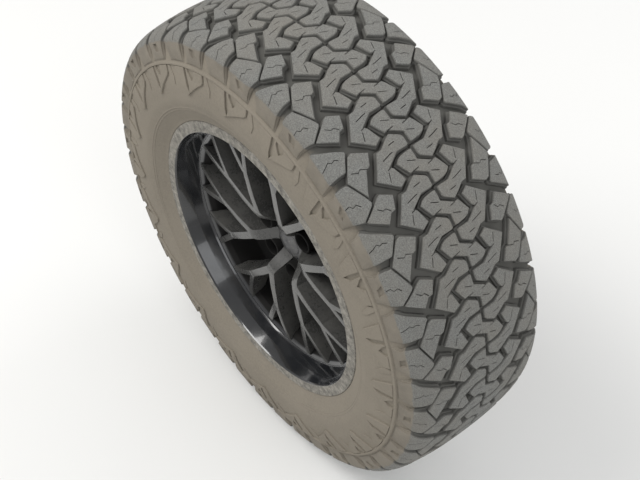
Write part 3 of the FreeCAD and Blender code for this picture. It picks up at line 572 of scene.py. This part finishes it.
class Graph:
    """Short words for the shader nodes used below."""

    def __init__(self, nodes, links, surface):
        self.nodes, self.links, self.surface = nodes, links, surface

    def put(self, socket, value):
        if isinstance(value, bpy.types.NodeSocket):
            self.links.new(value, socket)
        else:
            socket.default_value = value

    def set(self, socket, value):
        """Give a socket of the surface a number, or join a node's output to it."""
        self.put(self.surface.inputs[socket], value)

    def position(self):
        return self.nodes.new("ShaderNodeTexCoord").outputs["Object"]

    def noise(self, scale, detail=4.0, rough=0.55, vector=None):
        node = self.nodes.new("ShaderNodeTexNoise")
        self.put(node.inputs["Vector"], vector if vector is not None else self.position())
        node.inputs["Scale"].default_value = scale
        node.inputs["Detail"].default_value = detail
        node.inputs["Roughness"].default_value = rough
        return node.outputs["Fac"]

    def ramp(self, value, low, high, start=0.0, end=1.0):
        node = self.nodes.new("ShaderNodeMapRange")
        self.put(node.inputs["Value"], value)
        for key, number in (("From Min", low), ("From Max", high), ("To Min", start), ("To Max", end)):
            node.inputs[key].default_value = number
        return node.outputs["Result"]

    def math(self, kind, a, b=0.0):
        node = self.nodes.new("ShaderNodeMath")
        node.operation = kind
        self.put(node.inputs[0], a)
        self.put(node.inputs[1], b)
        return node.outputs[0]

    def mix(self, factor, a, b):
        node = self.nodes.new("ShaderNodeMix")
        node.data_type = "RGBA"
        self.put(node.inputs["Factor"], factor)
        self.put(node.inputs["A"], a if isinstance(a, bpy.types.NodeSocket) else (*a, 1))
        self.put(node.inputs["B"], b if isinstance(b, bpy.types.NodeSocket) else (*b, 1))
        return node.outputs["Result"]

    def attribute(self, name):
        node = self.nodes.new("ShaderNodeAttribute")
        node.attribute_name = name
        return node.outputs["Fac"]

    def bump(self, height, strength, distance):
        node = self.nodes.new("ShaderNodeBump")
        self.put(node.inputs["Height"], height)
        node.inputs["Strength"].default_value = strength
        node.inputs["Distance"].default_value = distance
        return node.outputs[0]

    def axis(self, index):
        """One coordinate of the position, along X, Y or Z."""
        parts = self.nodes.new("ShaderNodeSeparateXYZ")
        self.links.new(self.position(), parts.inputs[0])
        return parts.outputs[index]

    def radius(self):
        """Distance from the wheel's axis."""
        across, up = self.axis(0), self.axis(2)
        squares = [self.math("MULTIPLY", across, across), self.math("MULTIPLY", up, up)]
        return self.math("SQRT", self.math("ADD", *squares))


def tread_rubber(tyre):
    """Worn grey tread tops, groove floors darker partly as painted shade and partly for their undusted
    rubber, and flanks coated with dry dust.
    """
    material, g = shader("tread_rubber")
    speckle = g.noise(520, 6, 0.75)
    patches = g.noise(9, 4, 0.6)
    worn = g.mix(g.ramp(speckle, 0.36, 0.66), [c * 0.62 for c in tyre.rubber], [c * 1.5 for c in tyre.rubber])
    worn = g.mix(g.math("MULTIPLY", g.ramp(patches, 0.4, 0.7), tyre.dustiness), worn, tyre.dust)
    # Painted shade, partly: block walls and groove floors turn to the darker groove colour with depth,
    # standing for the grooves' shade as well as their undusted rubber.
    floor = g.mix(g.ramp(patches, 0.3, 0.7), [c * 0.8 for c in tyre.groove], [c * 1.2 for c in tyre.groove])
    tread = g.mix(g.ramp(g.attribute("deep"), 0.05, 0.3), worn, floor)
    coat = g.mix(g.ramp(g.noise(26, 5, 0.6), 0.3, 0.7), [c * 0.85 for c in tyre.dust],
                 [c * 1.12 for c in tyre.dust])
    edge = g.math("ADD", g.attribute("across"), g.ramp(g.noise(70, 4, 0.6), 0.2, 0.8, -3.0, 3.0))
    g.set("Base Color", g.mix(g.ramp(edge, CREST_AT - 1.5, CREST_AT + 1.5), tread, coat))
    g.set("Roughness", 0.8)
    g.set("Specular IOR Level", 0.35)
    rough = g.math("ADD", g.math("MULTIPLY", speckle, 0.6), g.noise(150, 8, 0.75))
    g.set("Normal", g.bump(rough, 0.8, 0.0022))
    return material


def sidewall_rubber(tyre):
    """Sidewall under a coat of dry beige dust, with groove floors under the tread, darker partly as painted
    shade and partly for their undusted rubber.
    """
    material, g = shader("sidewall_rubber")
    film = g.noise(7, 5, 0.6)
    fine = g.noise(260, 5, 0.65)
    dust = g.mix(g.ramp(film, 0.3, 0.7), [c * 0.86 for c in tyre.dust], [c * 1.1 for c in tyre.dust])
    dust = g.mix(g.ramp(fine, 0.3, 0.75), dust, [c * 1.16 for c in tyre.dust])
    # Painted shade, partly: the groove floors under the tread take the darker groove colour, which also
    # stands for their bare rubber without dust.
    floor = g.mix(g.ramp(g.noise(9, 4, 0.6), 0.3, 0.7), [c * 0.8 for c in tyre.groove],
                  [c * 1.2 for c in tyre.groove])
    g.set("Base Color", g.mix(g.ramp(g.attribute("across"), CREST_AT - 10, CREST_AT + 12), floor, dust))
    g.set("Roughness", 0.9)
    g.set("Specular IOR Level", 0.2)
    g.set("Normal", g.bump(g.math("ADD", g.math("MULTIPLY", fine, 0.4), g.noise(30, 6, 0.6)), 0.35, 0.0010))
    return material


def gloss_black(wheel):
    """Gloss black lip, with a scuffed dusty flange outside it and a dull black barrel behind it."""
    material, g = shader("gloss_black")
    film = g.ramp(g.noise(14, 5, 0.65), 0.45, 0.8, 0.0, 0.08)
    lip = g.mix(film, wheel.lacquer, (0.16, 0.15, 0.135))
    scuff = g.mix(g.ramp(g.noise(90, 8, 0.8), 0.35, 0.68), (0.085, 0.082, 0.074), (0.36, 0.34, 0.30))
    flange = g.ramp(g.radius(), (FLANGE_R - 21.8) * MM, (FLANGE_R - 20.6) * MM)
    behind = g.ramp(g.axis(1), (FLANGE_Y + 49) * MM, (FLANGE_Y + 52) * MM)
    shade = g.mix(behind, g.mix(flange, lip, scuff), (0.012, 0.0115, 0.011))
    g.set("Base Color", shade)
    dull = g.math("MAXIMUM", flange, behind)
    polish = g.ramp(g.noise(30, 4, 0.6), 0.3, 0.8, wheel.gloss * 0.6, wheel.gloss * 1.6)
    g.set("Roughness", g.math("MAXIMUM", polish, g.ramp(dull, 0, 1, 0.0, 0.72)))
    g.set("Specular IOR Level", g.ramp(dull, 0, 1, 0.5, 0.12))
    g.set("Coat Weight", g.ramp(dull, 0, 1, 0.7, 0.0))
    g.set("Coat Roughness", 0.05)
    g.set("Normal", g.bump(g.math("MULTIPLY", g.noise(160, 6, 0.7), flange), 0.5, 0.0008))
    return material


def arm_black(wheel):
    """Black lacquer dulled by fine dust, with painted highlights along the chamfers."""
    material, g = shader("arm_black")
    fine = g.noise(240, 6, 0.75)
    film = g.math("MULTIPLY", g.ramp(g.noise(18, 5, 0.65), 0.3, 0.75, 0.45, 1.0),
                  g.ramp(fine, 0.3, 0.7, 0.6, 1.0))
    dusty = g.mix(g.math("MULTIPLY", film, 0.55), wheel.lacquer, (0.17, 0.165, 0.15))
    # Painted highlight: the chamfer band marked by the edge attribute is lightened in patches, standing for
    # the sky's reflection in the chamfers.
    bright = g.math("MULTIPLY", g.ramp(g.attribute("edge"), 0.15, 0.8),
                    g.ramp(g.noise(40, 5, 0.7), 0.3, 0.6, 0.5, 1.0))
    g.set("Base Color", g.mix(bright, dusty, wheel.worn))
    g.set("Roughness", g.ramp(film, 0.2, 1.0, wheel.gloss, wheel.gloss + 0.3))
    g.set("Specular IOR Level", 0.5)
    g.set("Coat Weight", 0.35)
    g.set("Coat Roughness", 0.08)
    g.set("Normal", g.bump(fine, 0.2, 0.0002))
    return material


def coated_steel(name, base, dust):
    """Satin black coating with patches of dust."""
    material, g = shader(name)
    film = g.ramp(g.noise(60, 5, 0.65), 0.45, 0.8, 0.0, 0.45)
    g.set("Base Color", g.mix(film, base, dust))
    g.set("Roughness", g.ramp(g.noise(90, 4, 0.6), 0.3, 0.8, 0.22, 0.5))
    g.set("Specular IOR Level", 0.6)
    g.set("Normal", g.bump(g.noise(420, 4, 0.6), 0.25, 0.0002))
    return material


def rubber_black():
    """Plain black rubber with a dull dusty skin."""
    material, g = shader("rubber_black")
    film = g.ramp(g.noise(120, 5, 0.65), 0.35, 0.75, 0.0, 0.5)
    g.set("Base Color", g.mix(film, (0.018, 0.018, 0.018), (0.12, 0.11, 0.095)))
    g.set("Roughness", 0.75)
    g.set("Normal", g.bump(g.noise(300, 5, 0.6), 0.3, 0.0003))
    return material


def worn_metal(name, base, spot, amount, rough, metallic=0.0, grain=220.0, depth=0.0006):
    """Metal or cast iron with patches of rust or dust."""
    material, g = shader(name)
    low, high = 0.62 - 0.35 * amount, 0.80 - 0.25 * amount
    patch = g.ramp(g.noise(26, 6, 0.65), low, high)
    fine = g.noise(grain, 5, 0.7)
    shade = g.mix(g.ramp(fine, 0.3, 0.7), [c * 0.8 for c in base], [min(1, c * 1.2) for c in base])
    g.set("Base Color", g.mix(patch, shade, spot))
    g.set("Roughness", g.ramp(patch, 0, 1, rough, min(1, rough + 0.3)))
    if metallic:
        g.set("Metallic", g.ramp(patch, 0, 1, metallic, 0.0))
    g.set("Normal", g.bump(g.math("ADD", fine, g.math("MULTIPLY", patch, 0.6)), 0.4, depth))
    return material


def disc_iron(brake):
    """Brake disc: bright scored faces where the pads rub, and a rusty hat, rim and vanes."""
    material, g = shader("disc_iron")
    low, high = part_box("brake_disc")
    outer = (high.z - low.z) / 2
    radius = g.radius()
    ring = g.math("MULTIPLY", g.ramp(radius, outer - 0.066, outer - 0.064),
                  g.ramp(radius, outer - 0.0015, outer - 0.003))
    patch = g.ramp(g.noise(30, 6, 0.7), 0.35, 0.7)
    rusty = g.mix(patch, [c * 0.45 for c in brake.rust], brake.rust)
    lines = g.math("SINE", g.math("MULTIPLY", radius, 3600.0))
    rubbed = g.mix(g.ramp(lines, -1, 1), [c * 0.8 for c in brake.bright], brake.bright)
    g.set("Base Color", g.mix(ring, rusty, rubbed))
    g.set("Roughness", g.ramp(ring, 0, 1, 0.85, 0.34))
    g.set("Metallic", g.ramp(ring, 0, 1, 0.0, 0.9))
    score = g.math("ADD", g.math("MULTIPLY", lines, 0.25), g.noise(240, 6, 0.7))
    g.set("Normal", g.bump(score, 0.25, 0.0004))
    return material


# ---------------------------------------------------------------- operators
class WHEELEND_OT_tread(bpy.types.Operator):
    """Build the tread's outer, centre and inner blocks"""
    bl_idname = "wheelend.tread"
    bl_label = "Tread blocks"

    def execute(self, context):
        tyre = context.scene.wheelend_tyre
        rubber = tread_rubber(tyre)
        outer, centre = [], []
        for name, outline in SHOULDER_BLOCKS.items():
            outer.append((outline, SIPES[name], [FLANK_DIMPLE] if name == "heel" else []))
        inner = [(half_turn(o), [half_turn(p) for p in sipes], [half_turn(p) for p in dimples])
                 for o, sipes, dimples in outer]
        for offset in (0.0, DRAWN_REPEAT / 2):
            for name, outline in CENTRE_BLOCKS.items():
                turns = (lambda pts: pts, half_turn) if name == "hook" else (lambda pts: pts,)
                for turn in turns:
                    moved = [[(u + offset, s) for u, s in turn(pts)] for pts in [outline] + SIPES[name]]
                    centre.append((moved[0], moved[1:], []))
        depth = tyre.tread_depth / MM
        for name, blocks in (("tread_outer_shoulder", outer), ("tread_centre", centre),
                             ("tread_inner_shoulder", inner)):
            flat = [flat_block(stretched(o, tyre), [stretched(p, tyre) for p in sipes],
                               [stretched(p, tyre) for p in dimples], tyre) for o, sipes, dimples in blocks]
            repeated(name, flat, lambda pts: wrap_tread(pts, tyre.turn, depth), tyre, rubber, depth)
        return {"FINISHED"}


def sidewall_relief(s):
    """Height of the sidewall's raised ring, sunk band and bead lines along the section, in mm."""
    a = np.abs(s)
    band = -1.5 * np.clip((a - RIB_AT - 2.5) / 1.0, 0, 1) * np.clip((BAND_END_AT + 14 - a) / 14, 0, 1)
    flank = -1.4 * np.clip((RIB_AT - 2.2 - a) / 0.8, 0, 1) * (a > CREST_AT)
    height = band + flank + 1.3 * np.clip((3.4 - np.abs(a - RIB_AT)) / 1.0, 0, 1)
    for place in BEAD_LINES_AT:
        height = height + 0.6 * np.clip(1.5 - np.abs(a - place) / 0.9, 0, 1)
    return height


class WHEELEND_OT_casing(bpy.types.Operator):
    """Build the tyre's casing: groove floors, sidewalls and beads"""
    bl_idname = "wheelend.casing"
    bl_label = "Tyre casing"

    def execute(self, context):
        tyre = context.scene.wheelend_tyre
        half = np.concatenate([np.arange(0, 112, 8.0), np.arange(112, 168, 2.0), np.arange(168, 184, 0.5),
                               np.arange(184, 252, 3.0), np.arange(252, SECTION_END, 0.6), [SECTION_END]])
        s = np.concatenate([-half[::-1], half[1:]])
        radius, y = on_section(s, -groove_depth(s, tyre.tread_depth / MM) * 0.985 + sidewall_relief(s))
        outside = list(zip(radius, y))
        reach = RIM_WIDTH / 2
        bead = [(FLANGE_R - 5, reach - 8), (FLANGE_R - 16, reach - 14), (FLANGE_R - 17.7, reach - 20),
                (FLANGE_R - 17.7, reach - 34), (FLANGE_R, reach - 26), (330, reach - 5), (400, reach - 7),
                (416, reach - 27)]
        inside = [(r, CENTRE + q) for r, q in bead] + [(r, CENTRE - q) for r, q in bead[::-1]]
        segments = tyre.periods * 12
        verts, faces = lathe(outside + inside, segments)
        across = np.concatenate([np.abs(s), np.full(len(inside), SECTION_END)])
        deep = np.concatenate([groove_depth(s, 1.0), np.zeros(len(inside))])
        piece("tyre_casing", verts, faces, sidewall_rubber(tyre), ROAD_WHEEL, ("tyre",),
              sharp=50, marks={"across": np.tile(across, segments), "deep": np.tile(deep, segments)})
        return {"FINISHED"}


class WHEELEND_OT_shields(bpy.types.Operator):
    """Build the raised shield plates on both sidewalls"""
    bl_idname = "wheelend.shields"
    bl_label = "Sidewall shields"

    def execute(self, context):
        tyre = context.scene.wheelend_tyre
        rubber = sidewall_rubber(tyre)
        lines = [side * s for s in (186, 194, 202, 210, 218) for side in (-1, 1)]
        rings = [(-2.2, 0.5), (0.6, 0.4), (1.5, -0.5)]
        for name, turn in (("outer_shields", lambda pts: pts), ("inner_shields", half_turn)):
            shape = lambda pts: stretched(turn(pts), tyre)
            pockets = [prism(shape(p), [(-3.0, -0.8), (1.5, 0), (4.0, 0.3)]) for p in SHIELD_POCKETS]
            flat = [flat_mesh(diced(cut(prism(shape(SHIELD), rings), pockets), 12.0, lines)),
                    flat_mesh(diced(prism(shape(SIDE_PLATE), [(-2.2, 0.4), (-0.6, 0.2), (-0.2, -0.3)]),
                                    12.0, lines))]
            repeated(name, flat, lambda pts: wrap_wall(pts, tyre.turn), tyre, rubber, 6.0, sharp=30)
        return {"FINISHED"}


class WHEELEND_OT_wheel(bpy.types.Operator):
    """Build the alloy wheel: rim with its lip, branching arms, centre boss and mounting pad"""
    bl_idname = "wheelend.wheel"
    bl_label = "Alloy wheel"

    def execute(self, context):
        wheel = context.scene.wheelend_wheel
        lacquer = gloss_black(wheel)
        seat, end = FLANGE_R - 17.85, RIM_WIDTH
        rim = rounded([(FLANGE_R - 21.5, 0, 1.0), (FLANGE_R - 1.2, 0, 1.2), (FLANGE_R - 0.3, 1.6, 1.0),
                       (FLANGE_R, 6, 3), (seat + 3, 12.7, 2.5), (seat, 13.2, 0.4), (seat, 38, 2),
                       (229, 60, 8), (229, 108, 10), (241, 134, 12), (seat, 200, 6),
                       (seat, end - 13.2, 0.4), (seat + 3, end - 12.7, 2.5), (FLANGE_R, end - 6, 3),
                       (FLANGE_R, end, 2.5), (FLANGE_R - 12, end, 4), (seat - 7, end - 14, 8),
                       (seat - 9, 196, 8), (234, 136, 12), (222, 110, 10), (222, 60, 4), (230, 50, 2.5),
                       (235, 46.6, 0.8), (238.2, 46.4, 0.8), (239.4, 42.4, 1.0), (243.3, 24, 30),
                       (248.6, 3.2, 1.5)], arc_step=11)
        verts, faces = lathe([(r, FLANGE_Y + depth) for r, depth in rim], 288)
        piece("wheel_rim", verts, faces, lacquer, ROAD_WHEEL, ("alloy_wheel",), sharp=28)
        flat, arm_faces = flat_arm(wheel.chamfer / MM)
        shape = dished(flat)
        starts = [math.degrees(wheel.arm_start) + k * 360 / wheel.arms for k in range(wheel.arms)]
        verts, faces = joined([(on_face(shape, a), [f[::-1] for f in arm_faces]) for a in starts])
        chamfer = wheel.chamfer / MM
        # Marks the chamfer band that gets the painted highlight in the arm material.
        edge = (flat[:, 2] < -0.1 * chamfer) & (flat[:, 2] > -0.95 * chamfer)
        piece("wheel_arms", verts, faces, arm_black(wheel), ROAD_WHEEL,
              ("alloy_wheel",), sharp=25, marks={"edge": np.tile(edge.astype(float), wheel.arms)})
        boss = rounded([(35.8, 80.5, 0.8), (45.5, 78.5, 2.5), (48, 96, 8), (56, 112, 8), (78, 118, 3),
                        (82, 121, 3), (82, MOUNT_DEPTH, 1.5), (35.8, MOUNT_DEPTH, 0.5)], arc_step=12)
        verts, faces = lathe([(r, FLANGE_Y + depth) for r, depth in boss], 144)
        pocket = spun([(17.0, 118.5), (17.0, 68.2), (17.6, 67.0), (19.6, 67.0), (20.4, 68.0), (20.4, 119.0)])
        tubes = [(on_face(pocket[0], between_arms(wheel, k), (STUD_CIRCLE_R, 0)), pocket[1])
                 for k in range(wheel.arms)]
        verts, faces = joined([(verts, faces)] + tubes)
        piece("wheel_boss", verts, faces, lacquer, ROAD_WHEEL, ("alloy_wheel",),
              sharp=28)
        return {"FINISHED"}


class WHEELEND_OT_nuts(bpy.types.Operator):
    """Build the lug nuts, the centre cap and the valve"""
    bl_idname = "wheelend.nuts"
    bl_label = "Nuts, cap and valve"

    def execute(self, context):
        wheel = context.scene.wheelend_wheel
        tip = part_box("lug_nuts")[0].y / MM - FLANGE_Y
        seat = PAD_DEPTH
        corner = NUT_HALF_FLATS / math.cos(math.pi / 6)
        hexagon = [tuple(polar(corner, 30 + 60 * k)) for k in range(6)]
        nut = prism(hexagon, [(0.0, -0.3), (0.8, 0.0), (seat - tip - 7.5, 0.0)])
        verts, faces = flat_mesh(nut)
        verts[:, 2] = seat - 1.5 - verts[:, 2]
        dome = spun(rounded([(0, tip, 0), (5.5, tip, 4), (9.4, tip + 4.5, 2.5), (9.4, tip + 9, 0.6),
                             (0, tip + 9, 0)])[:-1])
        washer = spun([(8.0, seat - 4), (11.0, seat - 4), (11.5, seat - 3.2), (11.5, seat - 0.5),
                       (15.5, seat - 0.4), (16.5, seat + 1.0)])
        one = joined([(verts, faces), dome, washer])
        parts = [(on_face(one[0], between_arms(wheel, k), (STUD_CIRCLE_R, 0)), one[1])
                 for k in range(wheel.arms)]
        verts, faces = joined(parts)
        black = coated_steel("nut_black", (0.022, 0.022, 0.024), (0.16, 0.15, 0.13))
        piece("hex_nuts", verts, faces, black, ROAD_WHEEL, ("lug_nuts",), sharp=30)
        front = CAP_DEPTH
        cap = rounded([(0, front, 0), (20, front + 0.4, 6), (24.5, front + 1.0, 0.4),
                       (25.3, front + 2.2, 0.4), (26.4, front + 1.3, 0.4), (33, front + 3.0, 4),
                       (37.4, front + 6.0, 1.4), (37.6, front + 7.4, 0.3)], arc_step=12)
        cap = cap[:-1] + [(37.6, 80.2), (35.5, 81.0), (35.5, 90.0)]
        verts, faces = lathe([(max(r, 0.001), FLANGE_Y + depth) for r, depth in cap], 96, closed=False)
        piece("cap_face", verts, faces, coated_steel("cap_satin", (0.03, 0.03, 0.032), (0.13, 0.125, 0.11)),
              ROAD_WHEEL, ("centre_cap",), sharp=30)
        low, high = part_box("valve_stem")
        middle = ((low.x + high.x) / 2 / MM, (low.z + high.z) / 2 / MM)
        base, out = high.y / MM - FLANGE_Y, low.y / MM - FLANGE_Y
        stem = [(0.01, out), (2.6, out), (3.1, out + 0.6), (3.1, out + 9), (2.5, out + 9.4),
                (2.5, out + 11), (3.0, out + 13), (3.4, out + 18), (4.3, out + 30), (4.4, base),
                (0.01, base)]
        verts, faces = spun(stem, 24)
        piece("valve_cap", on_face(verts, 0, middle), faces, rubber_black(), ROAD_WHEEL,
              ("valve_stem",), sharp=35)
        return {"FINISHED"}


class WHEELEND_OT_finishes(bpy.types.Operator):
    """Give the hub, brake, knuckle and axle end their worn finishes"""
    bl_idname = "wheelend.finishes"
    bl_label = "Finishes"

    def execute(self, context):
        brake = context.scene.wheelend_brake
        rust = brake.rust
        plated = worn_metal("plated_steel", (0.46, 0.44, 0.40), rust, 0.25, 0.32, 0.9, 300, 0.0002)
        turned_steel = worn_metal("hub_steel", (0.20, 0.185, 0.17), rust, 0.55, 0.5, 0.6)
        cast = worn_metal("cast_knuckle", brake.iron, rust, 0.45, 0.8, 0.0, 170, 0.0010)
        paint = coated_steel("axle_paint", brake.paint, (0.20, 0.17, 0.13))
        body = worn_metal("cast_caliper", [c * 1.15 for c in brake.iron], rust, 0.25, 0.7, 0.2, 200, 0.0008)
        shield = worn_metal("shield_steel", (0.27, 0.265, 0.25), rust, 0.35, 0.55, 0.5, 240, 0.0003)
        lining = worn_metal("pad_lining", (0.055, 0.052, 0.05), (0.19, 0.15, 0.11), 0.4, 0.85, 0.0, 400,
                            0.0006)
        for names, material in (
                (("wheel_studs", "ball_studs"), plated),
                (("hub", "stub_axle", "hub_bearing"), turned_steel),
                (("knuckle", "caliper_bracket"), cast),
                (("caliper",), body),
                (("dust_shield",), shield),
                (("brake_pads",), lining),
                (("brake_disc",), disc_iron(brake)),
                (("axle_yoke", "ball_joint_housings"), paint),
                (("ball_joint_boots",), rubber_black())):
            for name in names:
                for place in CAD[name].material_slots:
                    place.material = material
        return {"FINISHED"}


class WHEELEND_OT_stage(bpy.types.Operator):
    """Set the floor, the soft light and the camera"""
    bl_idname = "wheelend.stage"
    bl_label = "Stage"

    def execute(self, context):
        stage = context.scene.wheelend_stage
        low = TYRE_LOW.z
        mesh = bpy.data.meshes.new("floor")
        reach = 12.0                    # metres from the middle to each edge of the floor
        mesh.from_pydata([(-reach, -reach, low), (reach, -reach, low), (reach, reach, low),
                          (-reach, reach, low)], [], [(0, 1, 2, 3)])
        floor = bpy.data.objects.new("floor", mesh)
        context.scene.collection.objects.link(floor)
        material, g = shader("floor")
        soft = g.noise(2.0, 3, 0.5)
        g.set("Base Color", g.mix(soft, [c * 0.985 for c in stage.floor], stage.floor))
        g.set("Roughness", 0.9)
        g.set("Specular IOR Level", 0.1)
        mesh.materials.append(material)
        world = bpy.data.worlds.new("studio")
        context.scene.world = world
        world.use_nodes = True
        nodes, links = world.node_tree.nodes, world.node_tree.links
        nodes.clear()
        out = nodes.new("ShaderNodeOutputWorld")
        light = nodes.new("ShaderNodeBackground")
        light.inputs["Color"].default_value = (1.0, 1.0, 1.0, 1)
        light.inputs["Strength"].default_value = 0.62
        links.new(light.outputs[0], out.inputs[0])
        for name, place, power, size, tint in (
                ("key", (-1.6, -2.2, 3.4), 120.0, 2.2, (1.0, 0.99, 0.97)),
                ("fill", (3.2, -0.6, 2.2), 40.0, 2.6, (0.96, 0.98, 1.0)),
                ("back", (0.4, 3.4, 2.4), 50.0, 2.4, (1.0, 1.0, 1.0))):
            lamp = bpy.data.lights.new(name, "AREA")
            lamp.energy = power
            lamp.size = size
            lamp.color = tint
            obj = bpy.data.objects.new(name, lamp)
            obj.location = place
            aim = Vector((0, CENTRE * MM, 0)) - Vector(place)
            obj.rotation_euler = aim.to_track_quat("-Z", "Y").to_euler()
            context.scene.collection.objects.link(obj)
        target = Vector((0.0197, 0.128 + FLANGE_Y * MM, -0.0132))
        back = Vector((math.sin(stage.azimuth) * math.cos(stage.elevation),
                       -math.cos(stage.azimuth) * math.cos(stage.elevation), math.sin(stage.elevation)))
        camera = bpy.data.cameras.new("camera")
        camera.lens = stage.lens
        camera.sensor_width = 36.0
        view = bpy.data.objects.new("camera", camera)
        view.location = target + back * stage.distance
        view.rotation_euler = (-back).to_track_quat("-Z", "Y").to_euler()
        context.scene.collection.objects.link(view)
        context.scene.camera = view
        context.scene.view_settings.view_transform = "Standard"
        return {"FINISHED"}


class WHEELEND_PT_panel(bpy.types.Panel):
    """Lists the pieces of the wheel end"""
    bl_label = "Wheel end"
    bl_idname = "WHEELEND_PT_panel"
    bl_space_type = "VIEW_3D"
    bl_region_type = "UI"
    bl_category = "Wheel end"

    def draw(self, context):
        for settings in ("wheelend_tyre", "wheelend_wheel", "wheelend_brake", "wheelend_stage"):
            group = getattr(context.scene, settings)
            box = self.layout.box()
            for key in group.bl_rna.properties.keys():
                if key not in ("rna_type", "name"):
                    box.prop(group, key)
        for operator in OPERATORS:
            self.layout.operator(operator.bl_idname)


SETTINGS = (("wheelend_tyre", TyreSettings), ("wheelend_wheel", WheelSettings),
            ("wheelend_brake", BrakeSettings), ("wheelend_stage", StageSettings))
OPERATORS = (WHEELEND_OT_casing, WHEELEND_OT_tread, WHEELEND_OT_shields, WHEELEND_OT_wheel, WHEELEND_OT_nuts,
             WHEELEND_OT_finishes, WHEELEND_OT_stage)


def register():
    for name, group in SETTINGS:
        bpy.utils.register_class(group)
        setattr(bpy.types.Scene, name, bpy.props.PointerProperty(type=group))
    for kind in OPERATORS + (WHEELEND_PT_panel,):
        bpy.utils.register_class(kind)


def unregister():
    for kind in reversed(OPERATORS + (WHEELEND_PT_panel,)):
        bpy.utils.unregister_class(kind)
    for name, group in reversed(SETTINGS):
        delattr(bpy.types.Scene, name)
        bpy.utils.unregister_class(group)


def main():
    register()
    bpy.ops.wheelend.casing()
    bpy.ops.wheelend.tread()
    bpy.ops.wheelend.shields()
    bpy.ops.wheelend.wheel()
    bpy.ops.wheelend.nuts()
    bpy.ops.wheelend.finishes()
    bpy.ops.wheelend.stage()


if __name__ == "__main__":
    main()
